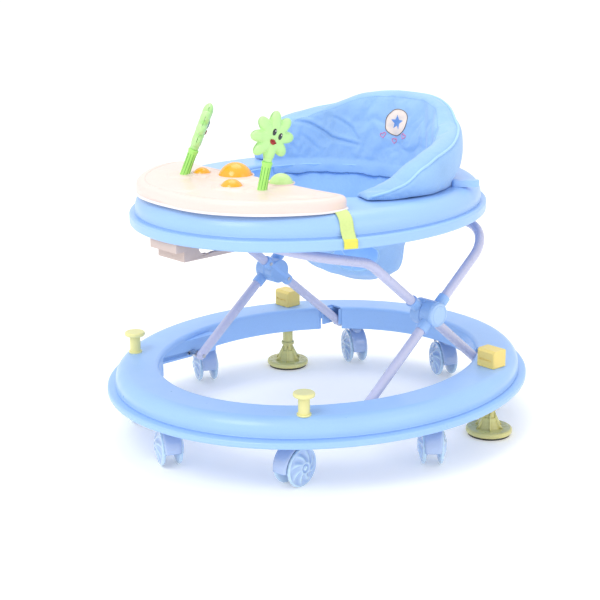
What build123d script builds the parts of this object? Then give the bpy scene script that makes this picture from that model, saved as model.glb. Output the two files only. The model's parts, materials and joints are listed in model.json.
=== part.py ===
from build123d import *
import math
import os

os.makedirs("parts", exist_ok=True)

# ---------------------------------------------------------------------------
# Baby walker. Millimetres, +Z up, front of the walker towards -Y.
# Origin: on the floor under the centre of the base ring.
# ---------------------------------------------------------------------------

# base ring (hollow moulded channel, open underneath)
BASE_A, BASE_B = 310.0, 353.5          # outer lip half-axes (X, Y)
BASE_Z0, BASE_Z1 = 74.0, 113.0         # underside, top
BASE_LIP_H, BASE_LIP_OUT = 10.0, 13.0  # height of the lip, how far it stands out
BASE_HOLE_A, BASE_HOLE_B = 229.0, 272.0
BASE_TOP_R = 20.0
WALL = 3.0

# tray ring
TRAY_A, TRAY_B, TRAY_Y = 247.0, 297.0, -20.0
TRAY_Z0, TRAY_Z1 = 345.0, 393.0
TRAY_LIP_H, TRAY_LIP_OUT = 16.0, 9.0
TRAY_TOP_R = 24.0
HOLE_A, HOLE_B, HOLE_Y = 156.0, 143.0, 22.0

# folding X frame (pivots run along X)
TUBE_R, TUBE_WALL = 7.5, 1.5
X_INNER, X_OUTER = 167.0, 187.0        # planes of the inner and the outer bars
REAR_FOOT = (208.0, 82.0)              # (y, z) pinned foot of the inner bar
HUB = (57.0, 204.0)                    # (y, z) scissor pivot
FRONT_FOOT = (-94.0, 82.0)             # (y, z) sliding foot of the outer bar
_S = 122.0 / 151.0                     # slope of both bars at rest
REAR_BAR = (196.2, HUB[1] + (196.2 - HUB[0]) * _S)              # (y, z) crossbar of the outer bar, in the clamps
FRONT_BAR = (-190.0, 333.0)            # (y, z) crossbar of the inner bar, in the rack
INNER_BEND = (-62.0, HUB[1] + (HUB[0] + 62.0) * _S)            # (y, z) bend of the inner bar under the tray
PIN_R = 3.0
RUN = 0.05                             # radial running clearance

# height rack
RACK_X0, RACK_X1 = 24.0, 30.0
SLOT_HALF = 10.3
SLOT_Y0, SLOT_Y1, SLOT_Z = -258.5, -160.5, 333.4

# foot tracks in the base
TRACK_SLOT_Y0, TRACK_SLOT_Y1 = -170.0, -63.0

# casters
WHEEL_R = 30.0
WHEEL_HALF = 21.5
TRAIL = 12.0
STEM_R = 5.0
#            x       y      heading in degrees (direction the hood faces)
CASTERS = [
    (0.0, -306.0, -26.0),
    (175.0, -228.0, -85.0),
    (262.5, -20.0, -43.0),
    (159.0, 243.0, -26.0),
    (0.0, 306.0, -26.0),
    (-159.0, 243.0, -26.0),
    (-262.5, -20.0, -26.0),
    (-175.0, -228.0, -26.0),
]

# brake feet
BRAKE_X, BRAKE_Y = 234.0, 144.0
PEG_X, PEG_Y = 197.0, -220.0


def put(shape, name):
    export_step(shape, f"parts/{name}.step")


def ell(a, b, z, cy=0.0):
    return Pos(0, cy, z) * Ellipse(a, b)


def ecyl(a, b, z0, z1, cy=0.0):
    return extrude(ell(a, b, z0, cy), amount=z1 - z0, dir=(0, 0, 1))


def box(x0, x1, y0, y1, z0, z1):
    return Pos((x0 + x1) / 2, (y0 + y1) / 2, (z0 + z1) / 2) * Box(x1 - x0, y1 - y0, z1 - z0)


def cyl(x, y, z0, z1, r):
    return Pos(x, y, (z0 + z1) / 2) * Cylinder(r, z1 - z0)


def rod_x(x0, x1, y, z, r):
    return Pos((x0 + x1) / 2, y, z) * Rot(0, 90, 0) * Cylinder(r, x1 - x0)


def rod(p, d, s0, s1, r):
    """Round bar along the unit vector d from p + s0 d to p + s1 d."""
    p, d = Vector(*p), Vector(*d)
    return extrude(Plane(origin=p + d * s0, z_dir=d) * Circle(r), amount=s1 - s0)


def both(shape):
    return Compound(children=[shape, mirror(shape, about=Plane.YZ)])


def group(items):
    return Compound(children=list(items))


def ring_skin(a, b, cy, z0, z1, lip_h, lip_out, top_r, grow=0.0):
    lip = extrude(ell(a + grow, b + grow, z0, cy), amount=lip_h + grow, dir=(0, 0, 1))
    lip = fillet(lip.edges(), 3.2)
    body = extrude(ell(a - lip_out + grow, b - lip_out + grow, z0, cy), amount=z1 - z0 + grow, dir=(0, 0, 1))
    body = fillet(body.faces().sort_by(Axis.Z)[-1].edges(), top_r + grow)
    return lip + body


def channel(a, b, cy, z0, z1, lip_out, top_r, ha, hb, hy):
    """The open hollow under the skin, between the outer wall and the wall of the hole."""
    c = extrude(ell(a - lip_out - WALL, b - lip_out - WALL, z0 - 1, cy), amount=z1 - WALL - z0 + 1, dir=(0, 0, 1))
    c = fillet(c.faces().sort_by(Axis.Z)[-1].edges(), top_r - WALL)
    return c - ecyl(ha + WALL, hb + WALL, z0 - 2, z1, hy)


# ---------------------------------------------------------------------------
# base
# ---------------------------------------------------------------------------
base = ring_skin(BASE_A, BASE_B, 0, BASE_Z0, BASE_Z1, BASE_LIP_H, BASE_LIP_OUT, BASE_TOP_R)
base -= ecyl(BASE_HOLE_A, BASE_HOLE_B, BASE_Z0 - 1, BASE_Z1 + 1)
base = fillet(base.edges().filter_by(lambda e: abs(e.center().Z - BASE_Z1) < 0.01).sort_by(SortBy.LENGTH)[0], 6)
base -= channel(BASE_A, BASE_B, 0, BASE_Z0, BASE_Z1, BASE_LIP_OUT, BASE_TOP_R, BASE_HOLE_A, BASE_HOLE_B, 0)
for s in (1, -1):
    # pocket for the front foot, notch for the rear foot
    xa, xb = sorted((s * 150.0, s * 236.0))
    base -= box(xa, xb, -190, -42, 70, 104)
    xa, xb = sorted((s * 154.5, s * 179.5))
    base -= box(xa, xb, 140, 201, 70, 120)
    base -= box(xa, xb, 195, 207, 70, BASE_Z1 - WALL - 0.02)
    # hole of the brake post and of the front buffer
    base -= cyl(s * BRAKE_X, BRAKE_Y, 90, 120, 9.3)
    base -= cyl(s * PEG_X, PEG_Y, 90, 120, 8.5)
put(base, "base_ring")

sockets = []
for x, y, h in CASTERS:
    sockets.append(cyl(x, y, 68, BASE_Z1 - WALL, 11) - cyl(x, y, 66, 104, STEM_R + RUN))
put(group(sockets), "caster_sockets")

pegs = []
for s in (1, -1):
    peg = cyl(s * PEG_X, PEG_Y, 104, 141, 8.5)
    head = cyl(s * PEG_X, PEG_Y, 140.5, 147.5, 16)
    head = fillet(head.edges(), 2.6)
    foot = cyl(s * PEG_X, PEG_Y, BASE_Z1 + 0.0, BASE_Z1 + 2.5, 10.5)
    pegs.append(peg + head + foot)
put(group(pegs), "front_buffers")


def foot_track(s):
    plate = box(209, 212, -189, -43, 74.5, 104)
    flange = box(209, 237, -189, -43, 101, 104)
    g1 = box(209, 237, -189, -186, 76, 104)
    g2 = box(209, 225, -46, -43, 76, 104)
    t = plate + flange + g1 + g2
    slot = box(200, 216, TRACK_SLOT_Y0, TRACK_SLOT_Y1, FRONT_FOOT[1] - 3.1, FRONT_FOOT[1] + 3.1)
    slot += rod_x(200, 216, TRACK_SLOT_Y0, FRONT_FOOT[1], 3.1)
    slot += rod_x(200, 216, TRACK_SLOT_Y1, FRONT_FOOT[1], 3.1)
    t -= slot
    t += box(217.2, 219.6, -189, -43, 76, 104)     # closes the track behind the slider
    return t if s > 0 else mirror(t, about=Plane.YZ)


put(group([foot_track(1), foot_track(-1)]), "foot_tracks")

# pocket of each rear foot: two ears and the plate that joins them behind the foot
EAR_TOP = BASE_Z1 - WALL - 0.05
pocket = box(155.0, 179.0, 220.6, 223.4, 80, EAR_TOP)
for x0, x1, y0 in ((155.0, 158.2, 196.0), (175.8, 179.0, 176.0)):
    e = box(x0, x1, y0, 221, 82, EAR_TOP) + rod_x(x0, x1, REAR_FOOT[0] + 2, REAR_FOOT[1], 7.4)
    pocket += e - rod_x(x0 - 1, x1 + 1, *REAR_FOOT, PIN_R)
put(both(pocket), "rear_foot_brackets")
put(both(rod_x(154.6, 179.4, *REAR_FOOT, PIN_R)), "rear_foot_pins")


# ---------------------------------------------------------------------------
# folding frame
# ---------------------------------------------------------------------------
def unit(a, b):
    d = (b[0] - a[0], b[1] - a[1])
    n = math.hypot(*d)
    return (0.0, d[0] / n, d[1] / n)


D_IN = unit(REAR_FOOT, HUB)      # inner bar, rear foot towards hub
D_OUT = unit(FRONT_FOOT, HUB)    # outer bar, front foot towards hub
HUB_GAP = 9.0                    # tubes stop this far from the pivot
SLEEVE = 34.0


def tube_between(x, foot, d, s0, s1):
    p = (x, foot[0], foot[1])
    return rod(p, d, s0, s1, TUBE_R) - rod(p, d, s0 - 1, s1 + 1, TUBE_R - TUBE_WALL)


LEG = math.hypot(HUB[0] - REAR_FOOT[0], HUB[1] - REAR_FOOT[1])
for s, side in ((1, "left"), (-1, "right")):
    put(tube_between(s * X_INNER, REAR_FOOT, D_IN, 14, LEG - HUB_GAP), f"rear_leg_{side}")
    put(tube_between(s * X_OUTER, FRONT_FOOT, D_OUT, 14, LEG - HUB_GAP), f"front_leg_{side}")


def u_tube(pts, radii):
    path = FilletPolyline(*pts, radius=radii)
    start = Plane(origin=path @ 0, z_dir=path % 0)
    return sweep(start * Circle(TUBE_R), path=path) - sweep(start * Circle(TUBE_R - TUBE_WALL), path=path)


def off_hub(x, d, s):
    return (x, HUB[0] + d[1] * s, HUB[1] + d[2] * s)


inner_pts = [off_hub(X_INNER, D_IN, HUB_GAP), (X_INNER, *INNER_BEND), (X_INNER, *FRONT_BAR)]
inner_pts += [(-x, y, z) for x, y, z in reversed(inner_pts)]
put(u_tube(inner_pts, [70, 60, 60, 70]), "front_upper_tube")
outer_pts = [off_hub(X_OUTER, D_OUT, HUB_GAP), (X_OUTER, *REAR_BAR)]
outer_pts += [(-x, y, z) for x, y, z in reversed(outer_pts)]
put(u_tube(outer_pts, [62, 62]), "rear_upper_tube")


def plug(x, foot, d, hole):
    p = (x, foot[0], foot[1])
    body = Pos(*p) * Sphere(TUBE_R) + rod(p, d, 0, 14, TUBE_R) + rod(p, d, 13, 34, TUBE_R - TUBE_WALL)
    return body - rod_x(x - 20, x + 20, *foot, hole)


put(group([plug(s * X_INNER, REAR_FOOT, D_IN, PIN_R + RUN) for s in (1, -1)]), "rear_foot_plugs")
put(group([plug(s * X_OUTER, FRONT_FOOT, D_OUT, PIN_R) for s in (1, -1)]), "front_foot_plugs")
slider = rod_x(178, 215.5, *FRONT_FOOT, PIN_R) + (
    rod_x(195.2, 208.3, *FRONT_FOOT, 5.5) - rod_x(190, 212, *FRONT_FOOT, PIN_R)
) + rod_x(212.7, 215.5, *FRONT_FOOT, 6.8)
put(both(slider), "front_sliders")


def hub_half(x, x0, x1, d, hole):
    h = rod_x(x0, x1, *HUB, 20.0)
    h = fillet(h.edges(), 1.5)
    h += rod((x, *HUB), d, -SLEEVE, SLEEVE, 9.4)
    h -= rod((x, *HUB), d, HUB_GAP, SLEEVE + 1, TUBE_R)
    h -= rod((x, *HUB), d, -SLEEVE - 1, -HUB_GAP, TUBE_R)
    return h - rod_x(x0 + 4 if hole == PIN_R else x0 - 1, x1 + 1, *HUB, hole)


put(both(hub_half(X_INNER, 158.0, 176.5, D_IN, PIN_R)), "hub_inner_halves")
put(both(hub_half(X_OUTER, 177.0, 196.5, D_OUT, PIN_R + RUN)), "hub_outer_halves")
put(both(rod_x(162.0, 195.0, *HUB, PIN_R)), "hub_pins")
cap = rod_x(196.5, 201.5, *HUB, 18.5)
cap = fillet(cap.edges().sort_by(Axis.X)[-1], 3.2)
put(both(cap), "hub_caps")

# ---------------------------------------------------------------------------
# tray
# ---------------------------------------------------------------------------
tray = ring_skin(TRAY_A, TRAY_B, TRAY_Y, TRAY_Z0, TRAY_Z1, TRAY_LIP_H, TRAY_LIP_OUT, TRAY_TOP_R)
tray -= ecyl(HOLE_A, HOLE_B, TRAY_Z0 - 1, TRAY_Z1 + 1, HOLE_Y)
tray = fillet(tray.edges().filter_by(lambda e: abs(e.center().Z - TRAY_Z1) < 0.01).sort_by(SortBy.LENGTH)[0], 6)
tray -= channel(TRAY_A, TRAY_B, TRAY_Y, TRAY_Z0, TRAY_Z1, TRAY_LIP_OUT, TRAY_TOP_R, HOLE_A, HOLE_B, HOLE_Y)
tray -= ecyl(HOLE_A + 5, HOLE_B + 5, TRAY_Z0 - 1, TRAY_Z0 + 10, HOLE_Y)
put(tray, "tray_ring")

clamps = []
for s in (1, -1):
    c = box(s * 80 - 11, s * 80 + 11, REAR_BAR[0] - 13, REAR_BAR[0] + 13, 303, TRAY_Z1 - WALL)
    c -= rod_x(s * 80 - 12, s * 80 + 12, *REAR_BAR, TUBE_R + RUN)
    clamps.append(c)
put(group(clamps), "tray_clamps")

prof = Polyline((-296, 316), (-128, 316), (-128, 389.9), (-272, 389.9), (-296, 368), close=True)
cheek_face = make_face(Plane.YZ.offset(RACK_X0) * prof)
cheek = extrude(cheek_face, amount=RACK_X1 - RACK_X0, dir=(1, 0, 0))
slot = box(20, 34, SLOT_Y0, SLOT_Y1, SLOT_Z - SLOT_HALF, SLOT_Z + SLOT_HALF)
slot += rod_x(20, 34, SLOT_Y0, SLOT_Z, SLOT_HALF) + rod_x(20, 34, SLOT_Y1, SLOT_Z, SLOT_HALF)
for k in range(5):
    slot += rod_x(20, 34, SLOT_Y0 + (SLOT_Y1 - SLOT_Y0) * (k + 0.5) / 5, SLOT_Z, SLOT_HALF + 1.2)
cheek -= slot
rack = cheek + mirror(cheek, about=Plane.YZ)
rack += box(-RACK_X1, RACK_X1, -296, -292, 316, 366)
rack += box(-RACK_X1, RACK_X1, -132, -128, 316, 389.9)
rack += box(-RACK_X1, RACK_X1, -310, -295, 331, 344.3)
rack += box(-RACK_X1, RACK_X1, -292, -131, 352, 356)
put(rack, "height_rack")

# toy tray: a crescent plate over the front of the ring
half = [(0, -302), (70, -293), (128, -258), (170, -206), (191, -154), (184, -126), (150, -123), (70, -125), (0, -125)]
outline = Spline(*half, *[(-x, y) for x, y in reversed(half[1:-1])], periodic=True)
plate_face = make_face(outline)
toy_tray = extrude(Pos(0, 0, TRAY_Z1) * plate_face, amount=20, dir=(0, 0, 1))
toy_tray = fillet(toy_tray.faces().sort_by(Axis.Z)[-1].edges(), 8)
TOY_Z = TRAY_Z1 + 20
DOMES = [("orange_dome_large", -24.0, -153.0, 26.0, 22.0), ("orange_dome_middle", 32.0, -208.0, 17.0, 12.0),
         ("orange_dome_small", -72.0, -178.0, 14.0, 11.0)]
for name, x, y, r, h in DOMES:
    toy_tray -= cyl(x, y, TOY_Z - 8, TOY_Z + 1, r + 0.5)
LEAN_AZ = 47.0
STALKS = [("left", 78.5, -193.0, 11.0, -6.0), ("right", -88.0, -202.0, 21.0, 47.0)]


def stalk_plane(x, y, lean):
    """Plane at the foot of a stalk: its normal leans by so many degrees towards the child's right hand."""
    c, s_ = math.cos(math.radians(LEAN_AZ)), math.sin(math.radians(LEAN_AZ))
    cl, sl = math.cos(math.radians(lean)), math.sin(math.radians(lean))
    return Plane(origin=(x, y, TOY_Z - 6), x_dir=(c * cl, s_ * cl, -sl), z_dir=(c * sl, s_ * sl, cl))


for side, x, y, lean, yaw in STALKS:
    toy_tray -= stalk_plane(x, y, lean).location * Pos(0, 0, 20) * Cylinder(7.6, 40)
put(toy_tray, "toy_tray")


for name, x, y, r, h in DOMES:
    big = (r * r + h * h) / (2 * h)
    cap_ = (Pos(x, y, TOY_Z + h - big) * Sphere(big)) & cyl(x, y, TOY_Z - 0.0, TOY_Z + h + 2, r)
    put(cap_ + cyl(x, y, TOY_Z - 4.5, TOY_Z, r), name)
gx, gy, gr, gh = 67.0, -144.0, 18.0, 17.0
big = (gr * gr + gh * gh) / (2 * gh)
put((Pos(gx, gy, TOY_Z + gh - big) * Sphere(big)) & cyl(gx, gy, TOY_Z, TOY_Z + gh + 2, gr), "green_dome")

# straps from the ends of the toy tray over the ring and under its lip
band = ring_skin(TRAY_A, TRAY_B, TRAY_Y, TRAY_Z0, TRAY_Z1, TRAY_LIP_H, TRAY_LIP_OUT, TRAY_TOP_R, 1.9)
band -= ring_skin(TRAY_A, TRAY_B, TRAY_Y, TRAY_Z0, TRAY_Z1, TRAY_LIP_H, TRAY_LIP_OUT, TRAY_TOP_R, 0.25)
band &= Pos(204, -150, 372) * Rot(0, 0, -26) * Box(70, 20, 52)
band -= box(0, 400, -320, 0, 300, 346.5)
band -= extrude(Pos(0, 0, TRAY_Z1 - 1) * plate_face, amount=23, dir=(0, 0, 1))
band = band.solids().sort_by(SortBy.VOLUME)[-1]
put(both(band), "tray_straps")

# flower toys on their stalks
FLOWER_T = 15.0
for side, x, y, lean, yaw in STALKS:
    frame = stalk_plane(x, y, lean)
    top = 48.0
    stalk = extrude(Pos(0, 0, 0.1) * Circle(7.5), amount=top - 0.1) + extrude(Pos(0, 0, top) * Circle(3.0), amount=14)
    put(frame.location * stalk, f"flower_stalk_{side}")
    disc = extrude(Circle(25), amount=FLOWER_T)
    for k in range(8):
        disc += Rot(0, 0, 45 * k + 22.5) * Pos(27, 0, 0) * extrude(Ellipse(10.4, 8.6), amount=FLOWER_T)
    disc = Pos(0, 0, -FLOWER_T / 2) * disc
    disc = Rot(90, 0, 0) * disc                        # faces -Y
    neck = extrude(Pos(0, 0, -36.6) * Circle(6.5), amount=16)
    head = disc + neck - extrude(Pos(0, 0, -40) * Circle(3.05), amount=18.5)
    head = Pos(0, 0, top + 36.9) * Rot(0, 0, 90 + yaw - 47) * head
    put(frame.location * head, f"flower_{side}")

# backrest pad: a curved wall standing on the ring around the rear of the hole
out0, out1 = ell(202, 165, TRAY_Z1 + 0.4, 20), ell(186, 190, 512, 22)
in0, in1 = ell(160, 140, TRAY_Z1 + 0.4, 20), ell(166, 172, 512, 22)
shell = loft([out0, out1]) - loft([in0, in1])
rim = [(-64, 386), (-66, 396), (-50, 405), (-21, 421), (3, 441), (40, 455), (80, 463), (120, 474), (152, 484), (178, 500), (200, 508), (240, 509)]
rim_path = Polyline(*rim, (240, 386), close=True)
cut = extrude(make_face(Plane.YZ.offset(-250) * rim_path), amount=500, dir=(1, 0, 0))
pad = shell & cut
# the wing on the child's right is the shorter one and has a steep front edge
short = [(-90, 380), (34, 380), (36, 396), (48, 418), (62, 441), (76, 458), (80, 530), (-90, 530)]
pad -= extrude(make_face(Plane.YZ.offset(-250) * Polyline(*short, close=True)), amount=250, dir=(1, 0, 0))
put(pad, "backrest_pad")

tabs = []
for s in (1, -1):
    t = Pos(s * 192, 118, TRAY_Z1 + 5) * Rot(0, 0, s * 50) * Box(42, 11, 10)
    t = fillet(t.edges().filter_by(Axis.Z), 5)
    tabs.append(t)
put(group(tabs), "backrest_tabs")

# seat sling: a cloth bag hung in the hole, with two leg openings
SLING = [(386.0, 152.0, 139.0, 22.0), (340.0, 132.0, 116.0, 36.0), (287.0, 98.0, 88.0, 57.0), (257.0, 82.0, 74.0, 73.0),
         (234.0, 56.0, 52.0, 92.0), (216.0, 30.0, 28.0, 100.0)]
outer = loft([ell(a, b, z, cy) for z, a, b, cy in SLING])
inner = loft([ell(a - 4, b - 4, z, cy) for z, a, b, cy in SLING[:4]] +
             [ell(50, 46, 239.0, 91), ell(26, 24, 221.0, 99)])
inner += ecyl(148, 135, 385.9, 388, 22)
sling = outer - inner
for s in (1, -1):
    d = Vector(s * 0.66, -0.60, -0.45).normalized()
    sling -= rod((s * 40, 35, 300), (d.X, d.Y, d.Z), 8, 150, 36)
put(sling.solids().sort_by(SortBy.VOLUME)[-1], "seat_sling")

hooks = []
for k in range(8):
    a = math.radians(22.5 + 45 * k)
    x, y = (HOLE_A + 7.5) * math.cos(a), HOLE_Y + (HOLE_B + 7.5) * math.sin(a)
    hooks.append(Pos(x, y, TRAY_Z0 + 4.0) * Rot(0, 0, math.degrees(a)) * Box(8, 10, 7))
hooks = [h - ecyl(HOLE_A + 3.2, HOLE_B + 3.2, TRAY_Z0 + 5, TRAY_Z0 + 30, HOLE_Y) for h in hooks]
put(group(hooks), "seat_hooks")


# ---------------------------------------------------------------------------
# brake feet
# ---------------------------------------------------------------------------
for s, side in ((1, "left"), (-1, "right")):
    b = Pos(s * BRAKE_X, BRAKE_Y, 127.2) * Box(34, 30, 27.6)
    b = chamfer(b.edges().filter_by(Axis.X).group_by(Axis.Z)[-1], 4)
    b = fillet(b.edges().filter_by(Axis.Z), 2.5)
    b -= box(s * BRAKE_X - 12, s * BRAKE_X + 12, BRAKE_Y - 16, BRAKE_Y - 13.6, 124.5, 127.5)
    put(b, f"brake_block_{side}")
    foot = cyl(s * BRAKE_X, BRAKE_Y, 3.4, 12, 36.5)
    foot = fillet(foot.edges(), 3.4)
    cone = Pos(s * BRAKE_X, BRAKE_Y, 11 + 9) * Cone(18.5, 11, 18)
    foot = foot + cone + cyl(s * BRAKE_X, BRAKE_Y, 20, 113.4, 9.0)
    put(foot, f"brake_foot_{side}")
    rr = cyl(s * BRAKE_X, BRAKE_Y, 0.4, 3.4, 33) - cyl(s * BRAKE_X, BRAKE_Y, 0, 2.6, 26)
    put(rr, f"brake_rubber_{side}")

# ---------------------------------------------------------------------------
# twin-wheel casters
# ---------------------------------------------------------------------------
half_wheel = Polyline((0, 4.9), (12, 4.9), (28, 10), (30, 11.6), (30, 14.4), (28.6, 15.9), (26, 16.4), (20, 17.0),
                      (12, 20.2), (9, WHEEL_HALF), (0, WHEEL_HALF), close=True)
wheel = revolve(make_face(half_wheel), axis=Axis.Y)
wheels = wheel + mirror(wheel, about=Plane.XZ) + Rot(90, 0, 0) * Cylinder(PIN_R, 12)


def fork_shape():
    """Local frame: stem on Z, axle along Y at x = -TRAIL, z = WHEEL_R, hood towards +X."""
    def at(s):
        return Pos(-TRAIL, 0, WHEEL_R) * Rot(90, 0, 0) * s
    wedge = make_face(Polyline((0, 0), (60, -2), (60, 60), (-36, 60), (-10, 0), close=True))
    wedge = extrude(wedge, amount=40, both=True)
    hood = (at(Cylinder(35.5, 27)) - at(Cylinder(31.6, 40))) & at(wedge)
    web = at(Cylinder(33, 8)) & at(wedge)
    web += at(Cylinder(12, 8))
    f = hood + web + cyl(0, 0, 58, 66, 9) + cyl(0, 0, 60, 102.5, STEM_R)
    f -= at(Cylinder(31.6, 40)) - at(Cylinder(60, 8))
    return f - at(Cylinder(PIN_R + RUN, 60))


fork = fork_shape()
for i, (x, y, h) in enumerate(CASTERS, 1):
    loc = Pos(x, y, 0) * Rot(0, 0, h)
    put(loc * fork, f"caster_{i}_fork")
    put(loc * Pos(-TRAIL, 0, WHEEL_R) * wheels, f"caster_{i}_wheels")
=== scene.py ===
import bpy, bmesh, math, json
import numpy as np
from mathutils import Matrix, Vector
from mathutils.bvhtree import BVHTree

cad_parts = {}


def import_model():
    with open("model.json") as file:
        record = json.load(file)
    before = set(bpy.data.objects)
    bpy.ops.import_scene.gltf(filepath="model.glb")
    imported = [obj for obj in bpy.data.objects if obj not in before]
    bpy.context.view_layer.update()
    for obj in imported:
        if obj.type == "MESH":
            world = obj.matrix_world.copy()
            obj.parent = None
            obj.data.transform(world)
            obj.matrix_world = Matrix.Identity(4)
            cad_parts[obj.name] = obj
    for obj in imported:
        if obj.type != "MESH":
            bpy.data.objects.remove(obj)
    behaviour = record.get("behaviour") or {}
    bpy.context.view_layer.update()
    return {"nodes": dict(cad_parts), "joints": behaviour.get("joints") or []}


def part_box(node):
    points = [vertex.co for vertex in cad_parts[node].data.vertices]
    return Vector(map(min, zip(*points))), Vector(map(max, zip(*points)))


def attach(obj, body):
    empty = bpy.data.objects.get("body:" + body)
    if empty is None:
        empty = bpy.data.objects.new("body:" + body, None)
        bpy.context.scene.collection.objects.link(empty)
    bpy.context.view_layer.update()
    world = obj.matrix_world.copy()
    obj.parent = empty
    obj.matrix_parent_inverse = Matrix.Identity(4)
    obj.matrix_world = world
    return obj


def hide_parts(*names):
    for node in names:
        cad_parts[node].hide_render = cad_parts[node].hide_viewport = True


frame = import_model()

N = frame["nodes"]
scene = bpy.context.scene
MM = 0.001
rng = np.random.default_rng(7)

# ------------------------------------------------------------------ camera
cam_data = bpy.data.cameras.new("camera")
cam = bpy.data.objects.new("camera", cam_data)
scene.collection.objects.link(cam)
cam_data.sensor_width = 36.0
cam_data.lens = 87.08
cam_data.clip_end = 50
_r = Vector((0.6818, 0.7316, 0.0)).normalized()
_l = Vector((-0.7037, 0.6558, -0.2735)).normalized()
_u = _r.cross(_l).normalized()
cam.matrix_world = Matrix(((_r.x, _u.x, -_l.x, 1.5983), (_r.y, _u.y, -_l.y, -1.5336), (_r.z, _u.z, -_l.z, 0.8274), (0, 0, 0, 1)))
scene.camera = cam

# ------------------------------------------------------------------ light and floor
scene.view_settings.view_transform = "Standard"
world = bpy.data.worlds.new("world")
scene.world = world
world.use_nodes = True
world.node_tree.nodes["Background"].inputs[0].default_value = (1.0, 1.0, 1.0, 1)
world.node_tree.nodes["Background"].inputs[1].default_value = 0.92


def area(name, loc, target, size, power, colour=(1, 1, 1)):
    d = bpy.data.lights.new(name, "AREA")
    d.shape = "DISK"
    d.size = size
    d.energy = power
    d.color = colour
    o = bpy.data.objects.new(name, d)
    scene.collection.objects.link(o)
    o.location = loc
    o.rotation_euler = (Vector(target) - Vector(loc)).to_track_quat("-Z", "Y").to_euler()
    return o


area("key", (0.4, -2.2, 2.6), (0, 0, 0.25), 1.6, 30)
area("fill", (2.6, 0.6, 1.6), (0, 0, 0.25), 1.6, 6)
area("top", (-0.6, 0.6, 3.0), (0, 0, 0.2), 2.2, 22)


# ------------------------------------------------------------------ materials
def new_mat(name):
    m = bpy.data.materials.new(name)
    m.use_nodes = True
    nt = m.node_tree
    b = nt.nodes["Principled BSDF"]
    return m, nt, b


def noise(nt, coord, scale, detail=3.0, rough=0.5):
    n = nt.nodes.new("ShaderNodeTexNoise")
    n.inputs["Scale"].default_value = scale
    n.inputs["Detail"].default_value = detail
    n.inputs["Roughness"].default_value = rough
    nt.links.new(coord, n.inputs["Vector"])
    return n.outputs["Fac"]


def ramp(nt, fac, stops):
    r = nt.nodes.new("ShaderNodeValToRGB")
    el = r.color_ramp.elements
    while len(el) < len(stops):
        el.new(0.5)
    for e, (p, c) in zip(el, stops):
        e.position = p
        e.color = (*c[:3], 1.0) if len(c) > 1 else (c[0], c[0], c[0], 1.0)
    nt.links.new(fac, r.inputs["Fac"])
    return r.outputs["Color"]


def mix(nt, a, b, fac, mode="MIX"):
    m = nt.nodes.new("ShaderNodeMix")
    m.data_type = "RGBA"
    m.blend_type = mode
    for sock, v in (("Factor", fac), ("A", a), ("B", b)):
        s = [i for i in m.inputs if i.name == sock and (i.type == "RGBA" or (sock == "Factor" and i.type == "VALUE"))][0]
        if hasattr(v, "links") or hasattr(v, "is_output"):
            nt.links.new(v, s)
        elif sock == "Factor":
            s.default_value = v
        else:
            s.default_value = (*v, 1.0)
    return [o for o in m.outputs if o.type == "RGBA"][0]


def mathn(nt, op, a, b=None, c=None):
    m = nt.nodes.new("ShaderNodeMath")
    m.operation = op
    for i, v in enumerate((a, b, c)):
        if v is None:
            continue
        if hasattr(v, "is_output"):
            nt.links.new(v, m.inputs[i])
        else:
            m.inputs[i].default_value = v
    return m.outputs[0]


def bump(nt, b, height, strength, dist):
    n = nt.nodes.new("ShaderNodeBump")
    n.inputs["Strength"].default_value = strength
    n.inputs["Distance"].default_value = dist
    nt.links.new(height, n.inputs["Height"])
    nt.links.new(n.outputs["Normal"], b.inputs["Normal"])


def scaled(c, k):
    return tuple(min(1.0, max(0.0, x * k)) for x in c)


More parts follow.
